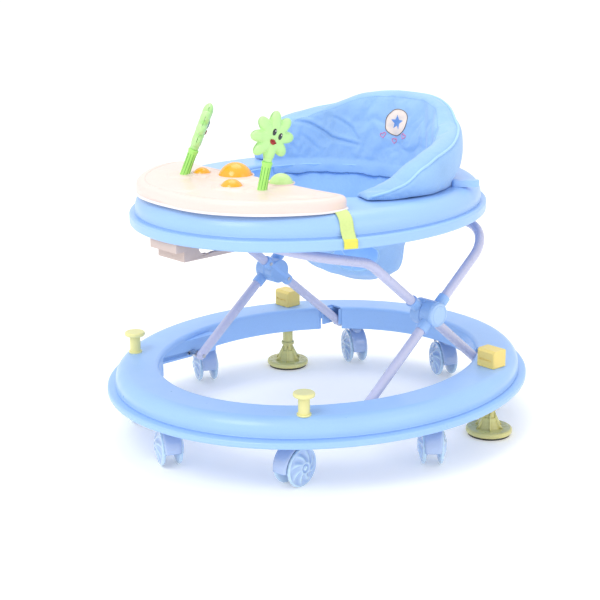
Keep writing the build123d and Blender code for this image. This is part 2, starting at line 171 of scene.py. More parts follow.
def plastic(name, col, rough=0.34, grain=0.35, var=0.05, coat=0.0, edge=1.06, sss=0.0, scuff=0.0, recess_shade_colour=None):
    """Moulded plastic: slow colour drift, fine spark-eroded grain, flow lines, paler edges that are partly edge wear
    and partly painted highlight, darker recesses painted as shade when a recess colour is given, a few scuffs.
    """
    m, nt, b = new_mat(name)
    tc = nt.nodes.new("ShaderNodeTexCoord").outputs["Object"]
    drift = ramp(nt, noise(nt, tc, 7.0, 2.0), [(0.3, scaled(col, 1 - var)), (0.7, scaled(col, 1 + var))])
    geo = nt.nodes.new("ShaderNodeNewGeometry").outputs["Pointiness"]
    # paler convex edges: partly edge wear, partly painted highlight
    wear_and_highlight = ramp(nt, geo, [(0.50, (0, 0, 0)), (0.58, (1, 1, 1))])
    c = mix(nt, drift, scaled(col, edge), wear_and_highlight)
    if recess_shade_colour:
        # painted shade: concave recesses darkened towards the given colour
        recess_shade_mask = ramp(nt, geo, [(0.40, (1, 1, 1)), (0.49, (0, 0, 0))])
        c = mix(nt, c, recess_shade_colour, recess_shade_mask)
    speck = ramp(nt, noise(nt, tc, 420.0, 2.0), [(0.30, (0.93,)), (0.62, (1.0,))])
    c = mix(nt, c, speck, 0.35, "MULTIPLY")
    if scuff:
        sc = ramp(nt, noise(nt, tc, 60.0, 6.0, 0.75), [(0.60, (0,)), (0.70, (1,))])
        sc = mathn(nt, "MULTIPLY", sc, scuff)
        c = mix(nt, c, scaled(col, 0.72), sc)
    nt.links.new(c, b.inputs["Base Color"])
    rr = ramp(nt, noise(nt, tc, 35.0, 4.0, 0.6), [(0.25, (max(0.04, rough - 0.07),)), (0.75, (rough + 0.09,))])
    nt.links.new(rr, b.inputs["Roughness"])
    g = noise(nt, tc, 1400.0, 2.0)
    w = noise(nt, tc, 24.0, 2.0)
    h = mathn(nt, "ADD", mathn(nt, "MULTIPLY", g, 0.12), mathn(nt, "MULTIPLY", w, 0.9))
    bump(nt, b, h, grain, 0.0006)
    b.inputs["Coat Weight"].default_value = coat
    b.inputs["Coat Roughness"].default_value = 0.12
    b.inputs["Specular IOR Level"].default_value = 0.45
    if sss:
        b.inputs["Subsurface Weight"].default_value = sss
        b.inputs["Subsurface Radius"].default_value = (0.4, 0.7, 1.0)
        b.inputs["Subsurface Scale"].default_value = 0.004
    return m


def painted_tube(name, col):
    """Powder-coated steel: orange-peel skin, faint run of colour, small chips scattered over it."""
    m, nt, b = new_mat(name)
    tc = nt.nodes.new("ShaderNodeTexCoord").outputs["Object"]
    drift = ramp(nt, noise(nt, tc, 9.0, 3.0), [(0.3, scaled(col, 0.95)), (0.7, scaled(col, 1.04))])
    chip = ramp(nt, noise(nt, tc, 95.0, 4.0, 0.7), [(0.73, (0,)), (0.76, (1,))])
    c = mix(nt, drift, (0.42, 0.42, 0.45), mathn(nt, "MULTIPLY", chip, 0.45))
    nt.links.new(c, b.inputs["Base Color"])
    rr = ramp(nt, noise(nt, tc, 60.0, 3.0), [(0.3, (0.22,)), (0.7, (0.36,))])
    nt.links.new(rr, b.inputs["Roughness"])
    bump(nt, b, noise(nt, tc, 650.0, 2.0), 0.16, 0.0005)
    b.inputs["Coat Weight"].default_value = 0.35
    b.inputs["Coat Roughness"].default_value = 0.15
    return m


def steel(name):
    m, nt, b = new_mat(name)
    tc = nt.nodes.new("ShaderNodeTexCoord").outputs["Object"]
    c = ramp(nt, noise(nt, tc, 120.0, 4.0), [(0.3, (0.50, 0.50, 0.52)), (0.7, (0.66, 0.66, 0.68))])
    nt.links.new(c, b.inputs["Base Color"])
    rr = ramp(nt, noise(nt, tc, 300.0, 3.0), [(0.3, (0.18,)), (0.7, (0.38,))])
    nt.links.new(rr, b.inputs["Roughness"])
    b.inputs["Metallic"].default_value = 1.0
    bump(nt, b, noise(nt, tc, 900.0, 2.0), 0.1, 0.0003)
    return m


def cloth(name, col, period=0.0011, sheen=0.35, var=0.06, rough=0.82, crease=0.35, uv=False):
    """Plain-woven polyester: crossing threads, slubs, soft rumples, and sheen."""
    m, nt, b = new_mat(name)
    t = nt.nodes.new("ShaderNodeTexCoord")
    tc = t.outputs["UV"] if uv else t.outputs["Object"]
    drift = ramp(nt, noise(nt, tc, 14.0, 3.0), [(0.3, scaled(col, 1 - var)), (0.7, scaled(col, 1 + var))])
    sep = nt.nodes.new("ShaderNodeSeparateXYZ")
    nt.links.new(tc, sep.inputs[0])
    k = 2 * math.pi / period
    s = [mathn(nt, "SINE", mathn(nt, "MULTIPLY", sep.outputs[i], k)) for i in range(3)]
    if uv:
        weave = mathn(nt, "MULTIPLY", s[0], s[1])
    else:
        xy, yz, zx = (mathn(nt, "MULTIPLY", s[i], s[j]) for i, j in ((0, 1), (1, 2), (2, 0)))
        weave = mathn(nt, "MAXIMUM", mathn(nt, "MAXIMUM", xy, yz), zx)
    wv = mathn(nt, "MULTIPLY_ADD", weave, 0.5, 0.5)
    tone = ramp(nt, wv, [(0.0, (0.88,)), (0.8, (1.0,))])
    c = mix(nt, drift, tone, 0.7, "MULTIPLY")
    slub = ramp(nt, noise(nt, tc, 260.0, 4.0, 0.7), [(0.35, (0.92,)), (0.65, (1.0,))])
    c = mix(nt, c, slub, 0.6, "MULTIPLY")
    nt.links.new(c, b.inputs["Base Color"])
    rr = ramp(nt, noise(nt, tc, 50.0, 3.0), [(0.3, (rough - 0.08,)), (0.7, (min(1.0, rough + 0.08),))])
    nt.links.new(rr, b.inputs["Roughness"])
    b.inputs["Sheen Weight"].default_value = sheen
    b.inputs["Sheen Roughness"].default_value = 0.4
    soft = mathn(nt, "MULTIPLY", noise(nt, tc, 30.0, 4.0, 0.6), 6.0)
    h = mathn(nt, "ADD", mathn(nt, "MULTIPLY", wv, 0.35), soft)
    bump(nt, b, h, crease, 0.0007)
    return m


M = {}
M["ring"] = plastic("ring_blue", (0.34, 0.56, 0.93), rough=0.33, grain=0.22, var=0.025, coat=0.15, edge=1.05, sss=0.0)
# casters: the dark recess colour is painted shade in the wheel relief, and the strong edge factor paints highlights on
# its ridges
M["caster"] = plastic("caster_blue", (0.42, 0.58, 0.88), rough=0.14, grain=0.5, var=0.20, coat=1.0, edge=1.6, scuff=0.30, recess_shade_colour=(0.06, 0.20, 0.62))
M["fork"] = plastic("fork_blue", (0.44, 0.57, 0.84), rough=0.18, grain=0.3, var=0.10, coat=0.9, edge=1.3)
M["hub"] = plastic("hub_blue", (0.30, 0.50, 0.85), rough=0.30, grain=0.25, var=0.04, coat=0.2, edge=1.12)
M["cap"] = plastic("cap_blue", (0.42, 0.62, 0.92), rough=0.30, grain=0.2, var=0.03, coat=0.2, edge=1.1)
M["tube"] = painted_tube("tube_lilac", (0.58, 0.59, 0.78))
M["steel"] = steel("steel")
M["yellow"] = plastic("buffer_yellow", (0.86, 0.67, 0.20), rough=0.34, grain=0.3, var=0.06, coat=0.15, edge=1.15)
M["pale_yellow"] = plastic("buffer_pale", (0.80, 0.76, 0.34), rough=0.34, grain=0.3, var=0.05, coat=0.1, edge=1.1)
M["olive"] = plastic("brake_olive", (0.72, 0.67, 0.26), rough=0.26, grain=0.3, var=0.10, coat=0.4, edge=1.2)
M["rubber"] = plastic("rubber_black", (0.035, 0.035, 0.03), rough=0.7, grain=0.7, var=0.2, edge=1.8)
M["beige"] = plastic("rack_beige", (0.58, 0.48, 0.45), rough=0.45, grain=0.35, var=0.06, edge=1.12)
M["peach"] = plastic("toy_peach", (0.87, 0.70, 0.65), rough=0.36, grain=0.2, var=0.02, coat=0.1, edge=1.04)
M["peach_rim"] = plastic("toy_rim", (0.90, 0.86, 0.88), rough=0.36, grain=0.2, var=0.02, edge=1.02)
M["orange"] = plastic("dome_orange", (0.98, 0.44, 0.025), rough=0.22, grain=0.2, var=0.05, coat=0.5, edge=1.1)
M["leaf"] = plastic("toy_green", (0.60, 0.86, 0.36), rough=0.34, grain=0.25, var=0.05, coat=0.2, edge=1.08)
M["flower"] = plastic("flower_green", (0.50, 0.84, 0.34), rough=0.38, grain=0.3, var=0.07, coat=0.1, edge=1.15)
M["stalk"] = plastic("stalk_green", (0.42, 0.87, 0.20), rough=0.34, grain=0.3, var=0.06, coat=0.1, edge=1.15)
# painted shade laid in the flute grooves of the stalks
M["groove_shade"] = plastic("stalk_groove_shade", (0.10, 0.42, 0.06), rough=0.4, grain=0.3, var=0.1, edge=1.1)
M["black"] = plastic("eye_black", (0.012, 0.02, 0.02), rough=0.2, grain=0.1, var=0.1, coat=0.6, edge=1.5)
M["white"] = plastic("eye_white", (0.9, 0.9, 0.88), rough=0.2, grain=0.1, var=0.02, coat=0.4)
M["red"] = plastic("mouth_red", (0.36, 0.012, 0.010), rough=0.3, grain=0.2, var=0.1, coat=0.2)
M["cloth"] = cloth("cloth_blue", (0.32, 0.54, 0.88))
M["cloth_in"] = cloth("cloth_blue_seat", (0.36, 0.60, 0.97))
M["piping"] = cloth("piping_blue", (0.40, 0.66, 0.98), period=0.0016, crease=0.2)
M["thread"] = cloth("thread_blue", (0.22, 0.42, 0.80), period=0.0008, crease=0.1)
M["strap"] = cloth("strap_yellow", (0.66, 0.80, 0.30), period=0.0018, sheen=0.2, crease=0.15, uv=True)
M["strap_end"] = cloth("strap_end_yellow", (0.86, 0.80, 0.12), period=0.0018, sheen=0.2, crease=0.15, uv=True)
# painted shadow: colour of the dark tube along the hanging hem
M["seam"] = cloth("seam_shadow_blue", (0.07, 0.16, 0.42), period=0.0008, crease=0.1)
M["star"] = cloth("patch_star_blue", (0.16, 0.34, 0.74), period=0.0012, crease=0.15)
M["patch"] = cloth("patch_cream", (0.93, 0.80, 0.72), period=0.0012, crease=0.15)
M["pink"] = cloth("patch_pink", (0.85, 0.22, 0.45), period=0.0012, crease=0.15)
M["grey"] = cloth("patch_grey", (0.16, 0.15, 0.19), period=0.0012, crease=0.15)
M["brown"] = cloth("patch_brown", (0.16, 0.10, 0.07), period=0.0012, crease=0.15)

fm, fnt, fb = new_mat("floor")
ftc = fnt.nodes.new("ShaderNodeTexCoord").outputs["Object"]
fc = ramp(fnt, noise(fnt, ftc, 1.2, 2.0), [(0.3, (0.90, 0.90, 0.905)), (0.7, (0.93, 0.93, 0.93))])
fnt.links.new(fc, fb.inputs["Base Color"])
fb.inputs["Roughness"].default_value = 0.6
fb.inputs["Emission Color"].default_value = (1.0, 1.0, 1.0, 1.0)
fb.inputs["Emission Strength"].default_value = 0.22
fb.inputs["Specular IOR Level"].default_value = 0.2

SLOT = {}


def paint(node, mat):
    o = N[node]
    o.data.materials.clear()
    o.data.materials.append(M[mat])
    for p in o.data.polygons:
        p.material_index = 0


# ------------------------------------------------------------------ mesh helpers (millimetres in, metres out)
def obj(name, verts, faces, mat, body=None, replaces=(), smooth=True, uv=None):
    me = bpy.data.meshes.new(name)
    me.from_pydata([tuple(float(c) * MM for c in v) for v in verts], [], [tuple(int(i) for i in f) for f in faces])
    me.validate()
    me.update()
    if smooth:
        me.polygons.foreach_set("use_smooth", [True] * len(me.polygons))
    if uv is not None:
        lay = me.uv_layers.new(name="cloth")
        for lp in me.loops:
            lay.data[lp.index].uv = (uv[lp.vertex_index][0] * MM, uv[lp.vertex_index][1] * MM)
    me.materials.append(M[mat])
    o = bpy.data.objects.new(name, me)
    scene.collection.objects.link(o)
    if body:
        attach(o, body)
    if replaces:
        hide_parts(*replaces)
    return o


def grid_faces(nu, nv, close_u=False, close_v=False, flip=False):
    f = []
    for i in range(nu if close_u else nu - 1):
        for j in range(nv if close_v else nv - 1):
            a, b = i * nv + j, ((i + 1) % nu) * nv + j
            c, d = ((i + 1) % nu) * nv + (j + 1) % nv, i * nv + (j + 1) % nv
            f.append((a, d, c, b) if flip else (a, b, c, d))
    return f


def tube(points, radius, sides=10, closed=False, caps=True):
    """Round tube along points, with a steady frame. radius is one number or one for each point."""
    P = np.asarray(points, float)
    n = len(P)
    R = np.full(n, radius, float) if np.isscalar(radius) else np.asarray(radius, float)
    T = np.roll(P, -1, 0) - np.roll(P, 1, 0) if closed else np.gradient(P, axis=0)
    T /= np.linalg.norm(T, axis=1)[:, None] + 1e-12
    up = np.array([0, 0, 1.0]) if abs(T[0][2]) < 0.9 else np.array([1.0, 0, 0])
    nrm = np.cross(T[0], up)
    nrm /= np.linalg.norm(nrm)
    V = []
    for i in range(n):
        nrm = nrm - T[i] * np.dot(nrm, T[i])
        nrm /= np.linalg.norm(nrm) + 1e-12
        bi = np.cross(T[i], nrm)
        for k in range(sides):
            a = 2 * math.pi * k / sides
            V.append(P[i] + R[i] * (math.cos(a) * nrm + math.sin(a) * bi))
    F = grid_faces(n, sides, close_u=closed, close_v=True)
    if caps and not closed:
        F.append(tuple(range(sides)))
        F.append(tuple(reversed(range((n - 1) * sides, n * sides))))
    return V, F


def join(parts):
    V, F = [], []
    for v, f in parts:
        o = len(V)
        V.extend(v)
        F.extend(tuple(i + o for i in q) for q in f)
    return V, F


def smooth_curve(pts, n, closed=False):
    """Catmull-Rom through the points."""
    P = np.asarray(pts, float)
    m = len(P)
    seg = m if closed else m - 1
    out = []
    for k in range(n):
        t = k / (n if closed else n - 1) * seg
        i = min(int(t), seg - 1)
        u = t - i
        idx = [(i - 1) % m, i % m, (i + 1) % m, (i + 2) % m] if closed else [max(i - 1, 0), i, min(i + 1, m - 1), min(i + 2, m - 1)]
        p0, p1, p2, p3 = P[idx]
        out.append(0.5 * (2 * p1 + (p2 - p0) * u + (2 * p0 - 5 * p1 + 4 * p2 - p3) * u * u + (3 * p1 - p0 - 3 * p2 + p3) * u ** 3))
    return np.array(out)


def place(V, R, t):
    V = np.asarray(V, float)
    return V @ np.asarray(R, float).T + np.asarray(t, float)


def rot_z(deg):
    a = math.radians(deg)
    return np.array([[math.cos(a), -math.sin(a), 0], [math.sin(a), math.cos(a), 0], [0, 0, 1.0]])


# ------------------------------------------------------------------ CAD pieces that keep their shape
for n in N:
    if n in ("base_ring", "tray_ring", "caster_sockets", "foot_tracks", "rear_foot_brackets", "tray_clamps", "backrest_tabs", "seat_hooks"):
        paint(n, "ring")
    elif n in ("hub_pins", "rear_foot_pins", "front_sliders"):
        paint(n, "steel")
    elif n == "hub_caps":
        paint(n, "cap")
    elif n.startswith("hub_") or n.endswith("_plugs"):
        paint(n, "hub" if n.startswith("hub_") else "tube")
    elif "_tube" in n or "_leg_" in n:
        paint(n, "tube")
    elif n.startswith("brake_block") or n == "front_buffers":
        paint(n, "yellow" if n.startswith("brake") else "pale_yellow")
    elif n.startswith("brake_foot"):
        paint(n, "olive")
    elif n.startswith("brake_rubber"):
        paint(n, "rubber")
    elif n == "height_rack":
        paint(n, "beige")
    elif n == "toy_tray":
        paint(n, "peach")
    elif n.startswith("orange_dome"):
        paint(n, "orange")
    elif n == "green_dome":
        paint(n, "leaf")
    elif n.startswith("flower_stalk"):
        paint(n, "stalk")
    elif n.startswith("flower_"):
        paint(n, "flower")
    elif n.startswith("caster_"):
        paint(n, "fork" if n.endswith("fork") else "caster")
    else:
        paint(n, "cloth")


def soften(node, width, angle=40, segments=3):
    """Rounds the hard edges of a CAD piece without touching its mesh."""
    o = N[node]
    w = o.modifiers.new("weld", "WELD")
    w.merge_threshold = 0.00002
    b = o.modifiers.new("round", "BEVEL")
    b.width = width * MM
    b.segments = segments
    b.limit_method = "ANGLE"
    b.angle_limit = math.radians(angle)
    b.harden_normals = False
    b.use_clamp_overlap = True
    return o


for n in ("brake_block_left", "brake_block_right", "height_rack", "tray_clamps", "foot_tracks", "rear_foot_brackets"):
    soften(n, 0.9)

# ------------------------------------------------------------------ rings: layout shared with the frame
TRAY_A, TRAY_B, TRAY_Y = 247.0, 297.0, -20.0
HOLE_A, HOLE_B, HOLE_Y = 156.0, 143.0, 22.0
TRAY_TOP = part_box("tray_ring")[1][2] / MM
BASE_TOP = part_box("base_ring")[1][2] / MM


def ring_point(d, z, ang, a=TRAY_A, b=TRAY_B, cy=TRAY_Y):
    """Point on the tray ring's outer side, d inwards of the lip, at polar angle ang (radians)."""
    return np.array([(a - d) * math.cos(ang), cy + (b - d) * math.sin(ang), z])


def ellipse_loop(a, b, cy, z, n=240):
    return np.array([[a * math.cos(t), cy + b * math.sin(t), z] for t in np.linspace(0, 2 * math.pi, n, endpoint=False)])


# raised beads moulded on the two rings
for name, body, loop, r in (
    ("base_bead", "base", ellipse_loop(296.4, 339.9, 0, 86.5), 1.3),
    ("tray_bead", "tray", ellipse_loop(237.4, 287.4, -20, 364.0), 1.2),
    ("base_inner_bead", "base", ellipse_loop(229.6, 272.6, 0, 76.2), 1.6),
):
    if name == "base_inner_bead":
        continue
    V, F = tube(loop, r, 8, closed=True)
    obj(name, V, F, "ring", body)

# ------------------------------------------------------------------ hub screws and sleeve details
for s in (1, -1):
    for k, (dy, dz) in enumerate(((0.7778, 0.6284),)):
        # small cross-head screws through the sleeves of the inner halves, on the side of the seat
        for t in (-26.0, 26.0):
            c = np.array([s * 157.4, 57.0 - dy * t, 204.0 + dz * t])
            prof = [(0.0, -0.9), (2.6, -0.8), (3.1, -0.2), (3.1, 1.2)]
            V, F = [], []
            n = 20
            for r, h in prof:
                for i in range(n):
                    a = 2 * math.pi * i / n
                    V.append(c + np.array([s * h, r * math.cos(a), r * math.sin(a)]))
            F = grid_faces(len(prof), n, close_v=True)
            obj(f"hub_screw_{'l' if s > 0 else 'r'}_{'a' if t < 0 else 'b'}", V, F, "steel", "inner_bar")
    c = np.array([s * 201.6, 57.0, 204.0])
    ringp = [c + np.array([0, 14.2 * math.cos(a), 14.2 * math.sin(a)]) for a in np.linspace(0, 2 * math.pi, 48, endpoint=False)]
    V, F = tube(ringp, 0.55, 6, closed=True)
    obj(f"hub_cap_ring_{'l' if s > 0 else 'r'}", V, F, "cap", "outer_bar")


# ------------------------------------------------------------------ casters
def lathe_y(profile, n, relief=None, side=1):
    """Turned body about Y. profile is (radius, y). relief(r, angle, y) adds to y."""
    V = []
    for r, y in profile:
        for k in range(n):
            a = 2 * math.pi * k / n
            rr = r
            yy = y + (relief(r, a, y) if relief else 0.0)
            if r > 29.0:
                rr = r - 0.35 * (0.5 + 0.5 * math.cos(24 * a))
            V.append((rr * math.cos(a), side * yy, rr * math.sin(a)))
    return V, grid_faces(len(profile), n, close_v=True, flip=(side < 0))


def wheel_relief(r, a, y):
    if y < 15.0 or r < 8.5 or r > 27.5:
        return 0.0
    w = math.sin(math.pi * (r - 8.5) / 19.0)
    sw = 0.5 + 0.5 * math.cos(8 * (a + 0.035 * (r - 8.5)))
    return w * (2.6 * sw ** 1.6 - 1.7)


WHEEL_PROFILE = [(0.01, 4.9), (6, 4.9), (11.5, 4.95), (13, 5.4), (20, 7.6), (27.4, 9.9), (28.6, 10.6), (29.6, 11.5), (30.0, 12.4), (30.0, 13.8),
                 (29.5, 14.8), (28.6, 15.5), (27.6, 15.9), (26.6, 15.6), (25.6, 15.6), (24, 16.0), (22, 16.6), (20, 17.3), (18, 18.0), (16, 18.6), (14, 19.2),
                 (12.5, 19.8), (11, 20.5), (9.5, 21.1), (8.4, 21.4), (7.6, 21.4), (7.0, 20.9), (6.2, 20.2), (4.5, 20.0), (3.9, 20.3), (3.2, 21.2), (2.0, 21.5), (0.01, 21.5)]


def arc(cx, cz, r, a0, a1, n):
    return [(cx + r * math.cos(math.radians(a)), cz + r * math.sin(math.radians(a))) for a in np.linspace(a0, a1, n)]


def prism_y(outline, half, name=None):
    """Flat plate in XZ with thickness 2*half along Y."""
    n = len(outline)
    V = [(x, -half, z) for x, z in outline] + [(x, half, z) for x, z in outline]
    F = [tuple(range(n)), tuple(reversed(range(n, 2 * n)))] + [(i, i + n, (i + 1) % n + n, (i + 1) % n) for i in range(n)]
    return V, F


def caster_fork():
    """Stem on Z, axle along Y at x=-12, z=30, hood towards +X."""
    parts = []
    # hood: a fender that narrows towards its lips, with rolled sides
    rows = []
    angs = np.linspace(-4, 122, 30)
    for a in angs:
        t = (a + 4) / 126.0
        half = 13.4 * (0.80 + 0.20 * math.sin(math.pi * min(1.0, 0.15 + t * 0.9)))
        ca, sa = math.cos(math.radians(a)), math.sin(math.radians(a))
        sec = []
        for y, r in [(-half, 31.7), (-half, 33.4), (-half + 1.0, 34.7), (-half + 3.4, 35.4), (-half * 0.4, 35.5), (half * 0.4, 35.5),
                     (half - 3.4, 35.4), (half - 1.0, 34.7), (half, 33.4), (half, 31.7)]:
            sec.append((-12 + r * ca, y, 30 + r * sa))
        rows.append(sec)
    V = [p for s_ in rows for p in s_]
    F = grid_faces(len(rows), 10, close_v=True)
    F.append(tuple(reversed(range(10))))
    F.append(tuple(range((len(rows) - 1) * 10, len(rows) * 10)))
    parts.append((V, F))
    # central web
    out = [(-12 + x, 30 + z) for x, z in arc(0, 0, 31.8, -1, 120, 26)] + [(-12 - 11, 38), (-12 - 11.5, 30)] + [(-12 + x, 30 + z) for x, z in arc(0, 0, 11.5, 200, 340, 14)]
    parts.append(prism_y(out, 4.0))
    return parts


def turned_z(profile, n, x=0.0, y=0.0):
    V = []
    for r, z in profile:
        for k in range(n):
            a = 2 * math.pi * k / n
            V.append((x + r * math.cos(a), y + r * math.sin(a), z))
    return V, grid_faces(len(profile), n, close_v=True)


FORK = caster_fork()
NECK = turned_z([(0.01, 57), (7.5, 57), (9.0, 59), (9.0, 65.2), (8.4, 66.0), (5.0, 66.0), (5.0, 101.6), (4.2, 102.5), (0.01, 102.5)], 28)
WHEEL = [lathe_y(WHEEL_PROFILE, 96, wheel_relief, 1), lathe_y(WHEEL_PROFILE, 96, wheel_relief, -1)]
AXLE = lathe_y([(0.01, -5.4), (3.0, -5.4), (3.0, 5.4), (0.01, 5.4)], 20)

for j in frame["joints"]:
    if not j["name"].endswith("_swivel"):
        continue
    i = int(j["name"].split("_")[1])
    roll = [q for q in frame["joints"] if q["name"] == f"caster_{i}_roll"][0]
    sx, sy = j["pos_m"][0] / MM, j["pos_m"][1] / MM
    ax, ay = roll["pos_m"][0] / MM, roll["pos_m"][1] / MM
    head = math.degrees(math.atan2(sy - ay, sx - ax))
    R = rot_z(head)
    V, F = join(FORK)
    o = obj(f"caster_fork_{i}", place(V, R, (sx, sy, 0)), F, "fork", f"caster_{i}", [f"caster_{i}_fork"])
    b = o.modifiers.new("round", "BEVEL")
    b.width, b.segments, b.limit_method, b.angle_limit = 0.0007, 2, "ANGLE", math.radians(50)
    V, F = NECK
    obj(f"caster_stem_{i}", place(V, R, (sx, sy, 0)), F, "fork", f"caster_{i}")
    V, F = join(WHEEL + [AXLE])
    obj(f"caster_wheels_{i}", place(V, R, place([(-12, 0, 30)], R, (sx, sy, 0))[0]), F, "caster", f"wheels_{i}", [f"caster_{i}_wheels"])

# ------------------------------------------------------------------ brake feet: collars and ribs
for s, side in ((1, "left"), (-1, "right")):
    x, y = s * 234.0, 144.0
    V, F = turned_z([(9.2, 40), (10.6, 40), (11.4, 41), (11.4, 44.5), (10.6, 45.5), (9.2, 45.5)], 40, x, y)
    obj(f"brake_collar_{side}", V, F, "olive", f"brake_{side}")
    fins = []
    for k in range(6):
        a = math.radians(60 * k + 15)
        d, q = np.array([math.cos(a), math.sin(a), 0]), np.array([-math.sin(a), math.cos(a), 0])
        o3 = np.array([x, y, 0])
        pr = [(9.0, 13.0), (24.0, 12.2), (19.0, 18.0), (12.5, 30.0), (9.0, 38.0)]
        V = [o3 + d * r + q * w + np.array([0, 0, z]) for w in (-0.9, 0.9) for r, z in pr]
        n = len(pr)
        F = [tuple(range(n)), tuple(reversed(range(n, 2 * n)))] + [(i, i + n, (i + 1) % n + n, (i + 1) % n) for i in range(n)]
        fins.append((V, F))
    V, F = join(fins)
    obj(f"brake_fins_{side}", V, F, "olive", f"brake_{side}")

# ------------------------------------------------------------------ toys: flowers, stalks, toy tray
def stalk_frame(x, y, az, lean):
    s, c = math.sin(math.radians(az)), math.cos(math.radians(az))
    sl, cl = math.sin(math.radians(lean)), math.cos(math.radians(lean))
    zdir = np.array([c * sl, s * sl, cl])
    xdir = np.array([c * cl, s * cl, -sl])
    ydir = np.cross(zdir, xdir)
    return np.array([xdir, ydir, zdir]).T, np.array([x, y, 407.0])


STALKS = {"left": (78.5, -193.0, 47.0, 11.0, -6.0), "right": (-88.0, -202.0, 47.0, 21.0, 47.0)}


def puffy_flower():
    """Eight-petalled cushion of moulded plastic in the XZ plane, facing -Y, centred on the origin."""
    V, F = [], []
    nr, na = 22, 128
    for face in (-1, 1):
        rows = []
        for i in range(nr):
            u = i / (nr - 1)
            for k in range(na):
                a = 2 * math.pi * k / na
                pet = abs(math.cos(4 * a))
                edge = 37.2 - 13.2 * (1 - pet ** 1.1)
                r = edge * (1 - (1 - u) ** 1.25) if u < 1 else edge
                e = r / edge
                bulge = 7.6 * math.sqrt(max(0.0, 1 - e ** 4.2))
                # petals swell between pinched grooves; the middle is a shallow face
                groove = (1 - pet) ** 2.2 * min(1.0, max(0.0, (r - 19) / 8.0))
                swell = 0.9 * pet * max(0.0, math.sin(math.pi * min(1, max(0, (r - 17) / 20.0))))
                d = bulge - 2.6 * groove * (1 if e < 0.99 else 0) + swell - 0.9 * math.exp(-((r - 20.5) / 2.2) ** 2) * 0.4
                rows.append((r * math.sin(a), face * max(0.0, d), r * math.cos(a)))
        base = len(V)
        V.extend(rows)
        F.extend(tuple(base + i for i in f) for f in grid_faces(nr, na, close_v=True, flip=(face > 0)))
    return V, F


def disc_on_flower(cx, cz, rx, rz, out, roll=0.0, n=36, rings=7):
    """Small domed oval on the -Y face."""
    V = []
    for i in range(rings):
        u = i / (rings - 1)
        for k in range(n):
            a = 2 * math.pi * k / n
            x, z = rx * u * math.cos(a), rz * u * math.sin(a)
            cr, sr = math.cos(roll), math.sin(roll)
            V.append((cx + cr * x - sr * z, -(7.9 + out * math.sqrt(max(0, 1 - u * u))) + 0.6 * u, cz + sr * x + cr * z))
    return V, grid_faces(rings, n, close_v=True)


for side, (x, y, az, lean, yaw) in STALKS.items():
    R, t = stalk_frame(x, y, az, lean)
    # stalk: a fluted stem with a foot collar
    n = 72
    prof = [(0.01, 0.1), (10.2, 0.1), (10.2, 1.6), (9.4, 2.6), (7.9, 3.2), (7.4, 4.5), (7.2, 12), (6.9, 24), (6.9, 36), (7.3, 43), (8.0, 46.2), (8.0, 47.6), (7.4, 48.2), (0.01, 48.2)]
    V = []
    for r, z in prof:
        for k in range(n):
            a = 2 * math.pi * k / n
            flute = 0.55 * (0.5 - 0.5 * math.cos(9 * a)) * (1 if 3.5 < z < 44 and r > 5 else 0)
            V.append(((r - flute) * math.cos(a), (r - flute) * math.sin(a), z))
    obj(f"stalk_{side}", place(V, R, t), grid_faces(len(prof), n, close_v=True), "stalk", "tray", [f"flower_stalk_{side}"])
    pin = turned_z([(0.01, 47), (2.9, 47), (2.9, 61.4), (2.4, 62), (0.01, 62)], 20)
    obj(f"stalk_pin_{side}", place(pin[0], R, t), pin[1], "stalk", "tray")
    # painted shade: a dark green line down each of the nine flute grooves
    for q, a0 in enumerate((2 * math.pi / 9 * 0.5 + 2 * math.pi / 9 * k for k in range(9))):
        pts = [np.array([(6.62 if z < 40 else 6.9) * math.cos(a0), (6.62 if z < 40 else 6.9) * math.sin(a0), z]) for z in np.linspace(6, 41, 10)]
        V, F = tube(pts, 0.34, 6)
        obj(f"stalk_groove_shade_{side}_{q}", place(V, R, t), F, "groove_shade", "tray")
    # flower: turned about the stalk's own axis
    Rf = R @ rot_z(90 + yaw - 47)
    tf = t + R @ np.array([0, 0, 48 + 36.9])
    V, F = puffy_flower()
    o = obj(f"flower_{side}_body", place(V, Rf, tf), F, "flower", f"flower_toy_{side}", [f"flower_{side}"])
    sub = o.modifiers.new("weld", "WELD")
    sub.merge_threshold = 0.00005
    neck = turned_z([(0.01, -36.4), (6.0, -36.4), (6.5, -35.6), (6.5, -31), (5.6, -27), (0.01, -26)], 28)
    obj(f"flower_{side}_neck", place(neck[0], Rf, tf), neck[1], "flower", f"flower_toy_{side}")
    tilt = math.radians(-27)
    ct, st_ = math.cos(tilt), math.sin(tilt)
    for nm, (ex, ez) in {"eye_a": (-6.0, 6.0), "eye_b": (6.6, 6.0)}.items():
        cx, cz = ex * ct - ez * st_, ex * st_ + ez * ct
        V, F = disc_on_flower(cx, cz, 3.7, 5.4, 1.1, tilt * 0.4)
        obj(f"flower_{side}_{nm}", place(V, Rf, tf), F, "black", f"flower_toy_{side}")
        V, F = disc_on_flower(cx + 0.9, cz + 1.9, 1.2, 1.5, 1.6, 0, 20, 4)
        obj(f"flower_{side}_{nm}_glint", place(V, Rf, tf), F, "white", f"flower_toy_{side}")
    # open smiling mouth: a rounded wedge
    V = []
    m = 26
    for q in range(6):
        for i in range(m):
            a = 2 * math.pi * i / m
            x, z = 5.6 * math.cos(a), 4.6 * math.sin(a)
            z = z * 0.35 + 0.8 - 0.07 * x * x if math.sin(a) > 0 else z * 1.15 + 0.4
            x, z = x * q / 5, (z + 0.6) * q / 5
            x, z = x * ct - (z - 6.2) * st_, x * st_ + (z - 6.2) * ct
            V.append((x, -8.75 + 0.25 * (q / 5) ** 2, z))
    F = grid_faces(6, m, close_v=True)
    mo = obj(f"flower_{side}_mouth", place(V, Rf, tf), F, "red", f"flower_toy_{side}")
    sd = mo.modifiers.new("thick", "SOLIDIFY")
    sd.thickness = 0.0009

